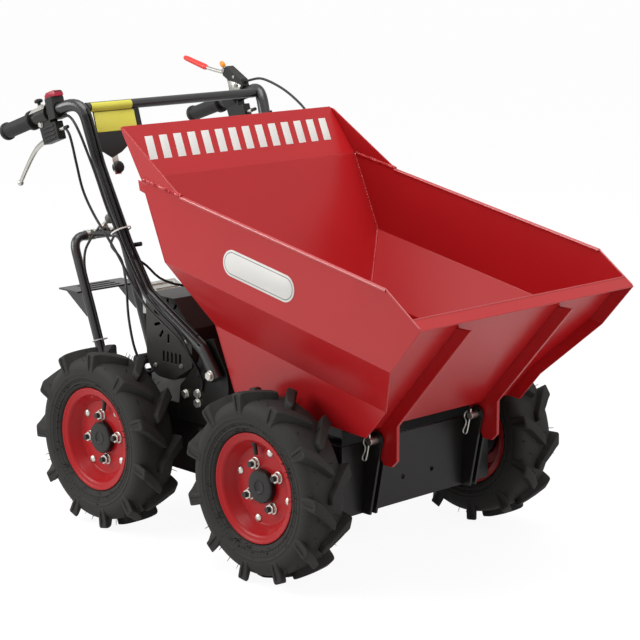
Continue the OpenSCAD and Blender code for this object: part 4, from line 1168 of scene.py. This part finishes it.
def add_gear_lever():
    """A short lever with a grey sleeve and a turned knob over the loop."""
    axis = upright(swing(90 - 52))
    foot = at((-275, -109.5, 616.3))
    stem = Skin()
    rod(stem, foot + 6 * MM * UP, foot + 6 * MM * UP + axis * 30 * MM, 5.5)
    stem.grid(plate([(-9, -9), (9, -9), (9, 9), (-9, 9)], foot, AHEAD, ACROSS, 8))
    stem.piece("gear_lever_stem", "chassis", "zinc")
    seat = foot + upright((22, 23)) * MM
    Skin().turned(GEAR_SLEEVE, seat, axis, 36).piece("gear_lever_sleeve", "chassis", "grey_plastic")
    head = Skin().turned(flowing(GEAR_KNOB, 3), seat, axis, 36)
    head.piece("gear_lever_knob", "chassis", "black_plastic", ["gear_lever"])


class DUMPER_OT_rear(bpy.types.Operator):
    """Builds the cables, ties, latches, fasteners, pin clips and gear lever"""
    bl_idname = "dumper.rear"
    bl_label = "Cables, latches and fasteners"

    def execute(self, context):
        add_cables()
        add_strapped_cables()
        add_ties()
        add_latches()
        add_fasteners()
        add_pin_clips()
        add_gear_lever()
        return {"FINISHED"}


# Stage

CAMERA_PLACE = (3.2014, -2.9829, 1.3780)
CAMERA_BACK = (0.7064, -0.6774, 0.2054)
SENSOR_WIDTH = 36
FLOOR_REACH = 30
FLOOR_WHITE = 1.13
FLOOR_MIRRORED = 0.3
LAMP_AIM = Vector((0, 0, 0.45))
LAMPS = (
    # name, place, size and share of the key light's power
    ("key", (-2.2, -2.8, 2.1), 2.0, 1.0),
    ("top", (0.3, -0.3, 3.6), 2.6, 1.0),
    ("fill", (3.4, 0.6, 1.8), 2.0, 0.3),
)


def facing(direction):
    """The turn of a camera or lamp that looks in a direction."""
    return direction.to_track_quat("-Z", "Y").to_euler()


def add_camera(scene, focal):
    """The camera at the photo's angle."""
    lens = bpy.data.cameras.new("camera")
    lens.lens = focal
    lens.sensor_width = SENSOR_WIDTH
    camera = bpy.data.objects.new("camera", lens)
    camera.location = CAMERA_PLACE
    camera.rotation_euler = facing(-Vector(CAMERA_BACK))
    scene.collection.objects.link(camera)
    scene.camera = camera


def add_floor(scene, glow):
    """A wide pale floor: rays that see or mirror it find it whiter, and it keeps the machine's shadow."""
    mesh = bpy.data.meshes.new("floor")
    corners = [(x * FLOOR_REACH, y * FLOOR_REACH, 0) for x, y in ((-1, -1), (1, -1), (1, 1), (-1, 1))]
    mesh.from_pydata(corners, [], [(0, 1, 2, 3)])
    material = bpy.data.materials.new("pale_floor")
    look = Look(material)
    seen, mirrored, passed = look.rays("Camera", "Glossy", "Transmission")
    lit = look.node("BsdfPrincipled", {"Base Color": (0.8, 0.8, 0.79, 1), "Roughness": 0.6})
    white = look.node("Emission", {"Strength": FLOOR_WHITE})
    share = glow * seen + FLOOR_MIRRORED * (mirrored + passed)
    look.node("OutputMaterial", {"Surface": look.node("MixShader", {0: share, 1: lit, 2: white})})
    mesh.materials.append(material)
    floor = bpy.data.objects.new("floor", mesh)
    scene.collection.objects.link(floor)


def add_room(scene, strength):
    """A white room: full white where it is seen or mirrored, softer as light."""
    scene.world = bpy.data.worlds.new("room")
    look = Look(scene.world)
    seen, mirrored = look.rays("Camera", "Glossy")
    level = strength + (1 - strength) * (seen | mirrored)
    look.node("OutputWorld", {"Surface": look.node("Background", {"Strength": level})})


def add_lamp(scene, name, place, size, power):
    """A square softbox that looks at the machine's middle."""
    light = bpy.data.lights.new(name, "AREA")
    light.size = size
    light.energy = power
    lamp = bpy.data.objects.new(name, light)
    lamp.location = place
    lamp.rotation_euler = facing(LAMP_AIM - Vector(place))
    scene.collection.objects.link(lamp)


class DUMPER_OT_stage(bpy.types.Operator):
    """Sets the camera, the pale floor, the soft studio light and the finishes"""
    bl_idname = "dumper.stage"
    bl_label = "Stage"

    def execute(self, context):
        scene = context.scene
        settings = scene.dumper_stage
        add_camera(scene, settings.lens)
        add_floor(scene, settings.glow)
        add_room(scene, settings.sky)
        for name, place, size, share in LAMPS:
            add_lamp(scene, name, place, size, settings.key * share)
        scene.view_settings.view_transform = "Standard"
        make_finishes(scene.dumper_colours)
        return {"FINISHED"}


# Panel and registration

STEPS = ("stage", "wheels", "plates", "handlebars", "skip", "rear")


class DUMPER_PT_panel(bpy.types.Panel):
    """Lists the steps and settings"""
    bl_idname = "DUMPER_PT_panel"
    bl_label = "Site dumper"
    bl_space_type = "VIEW_3D"
    bl_region_type = "UI"
    bl_category = "Dumper"

    def draw(self, context):
        for step in STEPS:
            self.layout.operator("dumper." + step)
        for name, kind in SETTINGS.items():
            group = getattr(context.scene, name)
            box = self.layout.box()
            for field in kind.__annotations__:
                box.prop(group, field)


SETTINGS = {"dumper_colours": DumperColours, "dumper_tyres": DumperTyres, "dumper_stage": DumperStage}
CLASSES = (*SETTINGS.values(), DUMPER_OT_stage, DUMPER_OT_wheels, DUMPER_OT_plates,
           DUMPER_OT_handlebars, DUMPER_OT_skip, DUMPER_OT_rear, DUMPER_PT_panel)


def register():
    for kind in CLASSES:
        bpy.utils.register_class(kind)
    for name, kind in SETTINGS.items():
        setattr(bpy.types.Scene, name, PointerProperty(type=kind))


def unregister():
    for name in SETTINGS:
        delattr(bpy.types.Scene, name)
    for kind in reversed(CLASSES):
        bpy.utils.unregister_class(kind)


def main():
    """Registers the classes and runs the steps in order."""
    register()
    for step in STEPS:
        getattr(bpy.ops.dumper, step)()


if __name__ == "__main__":
    main()
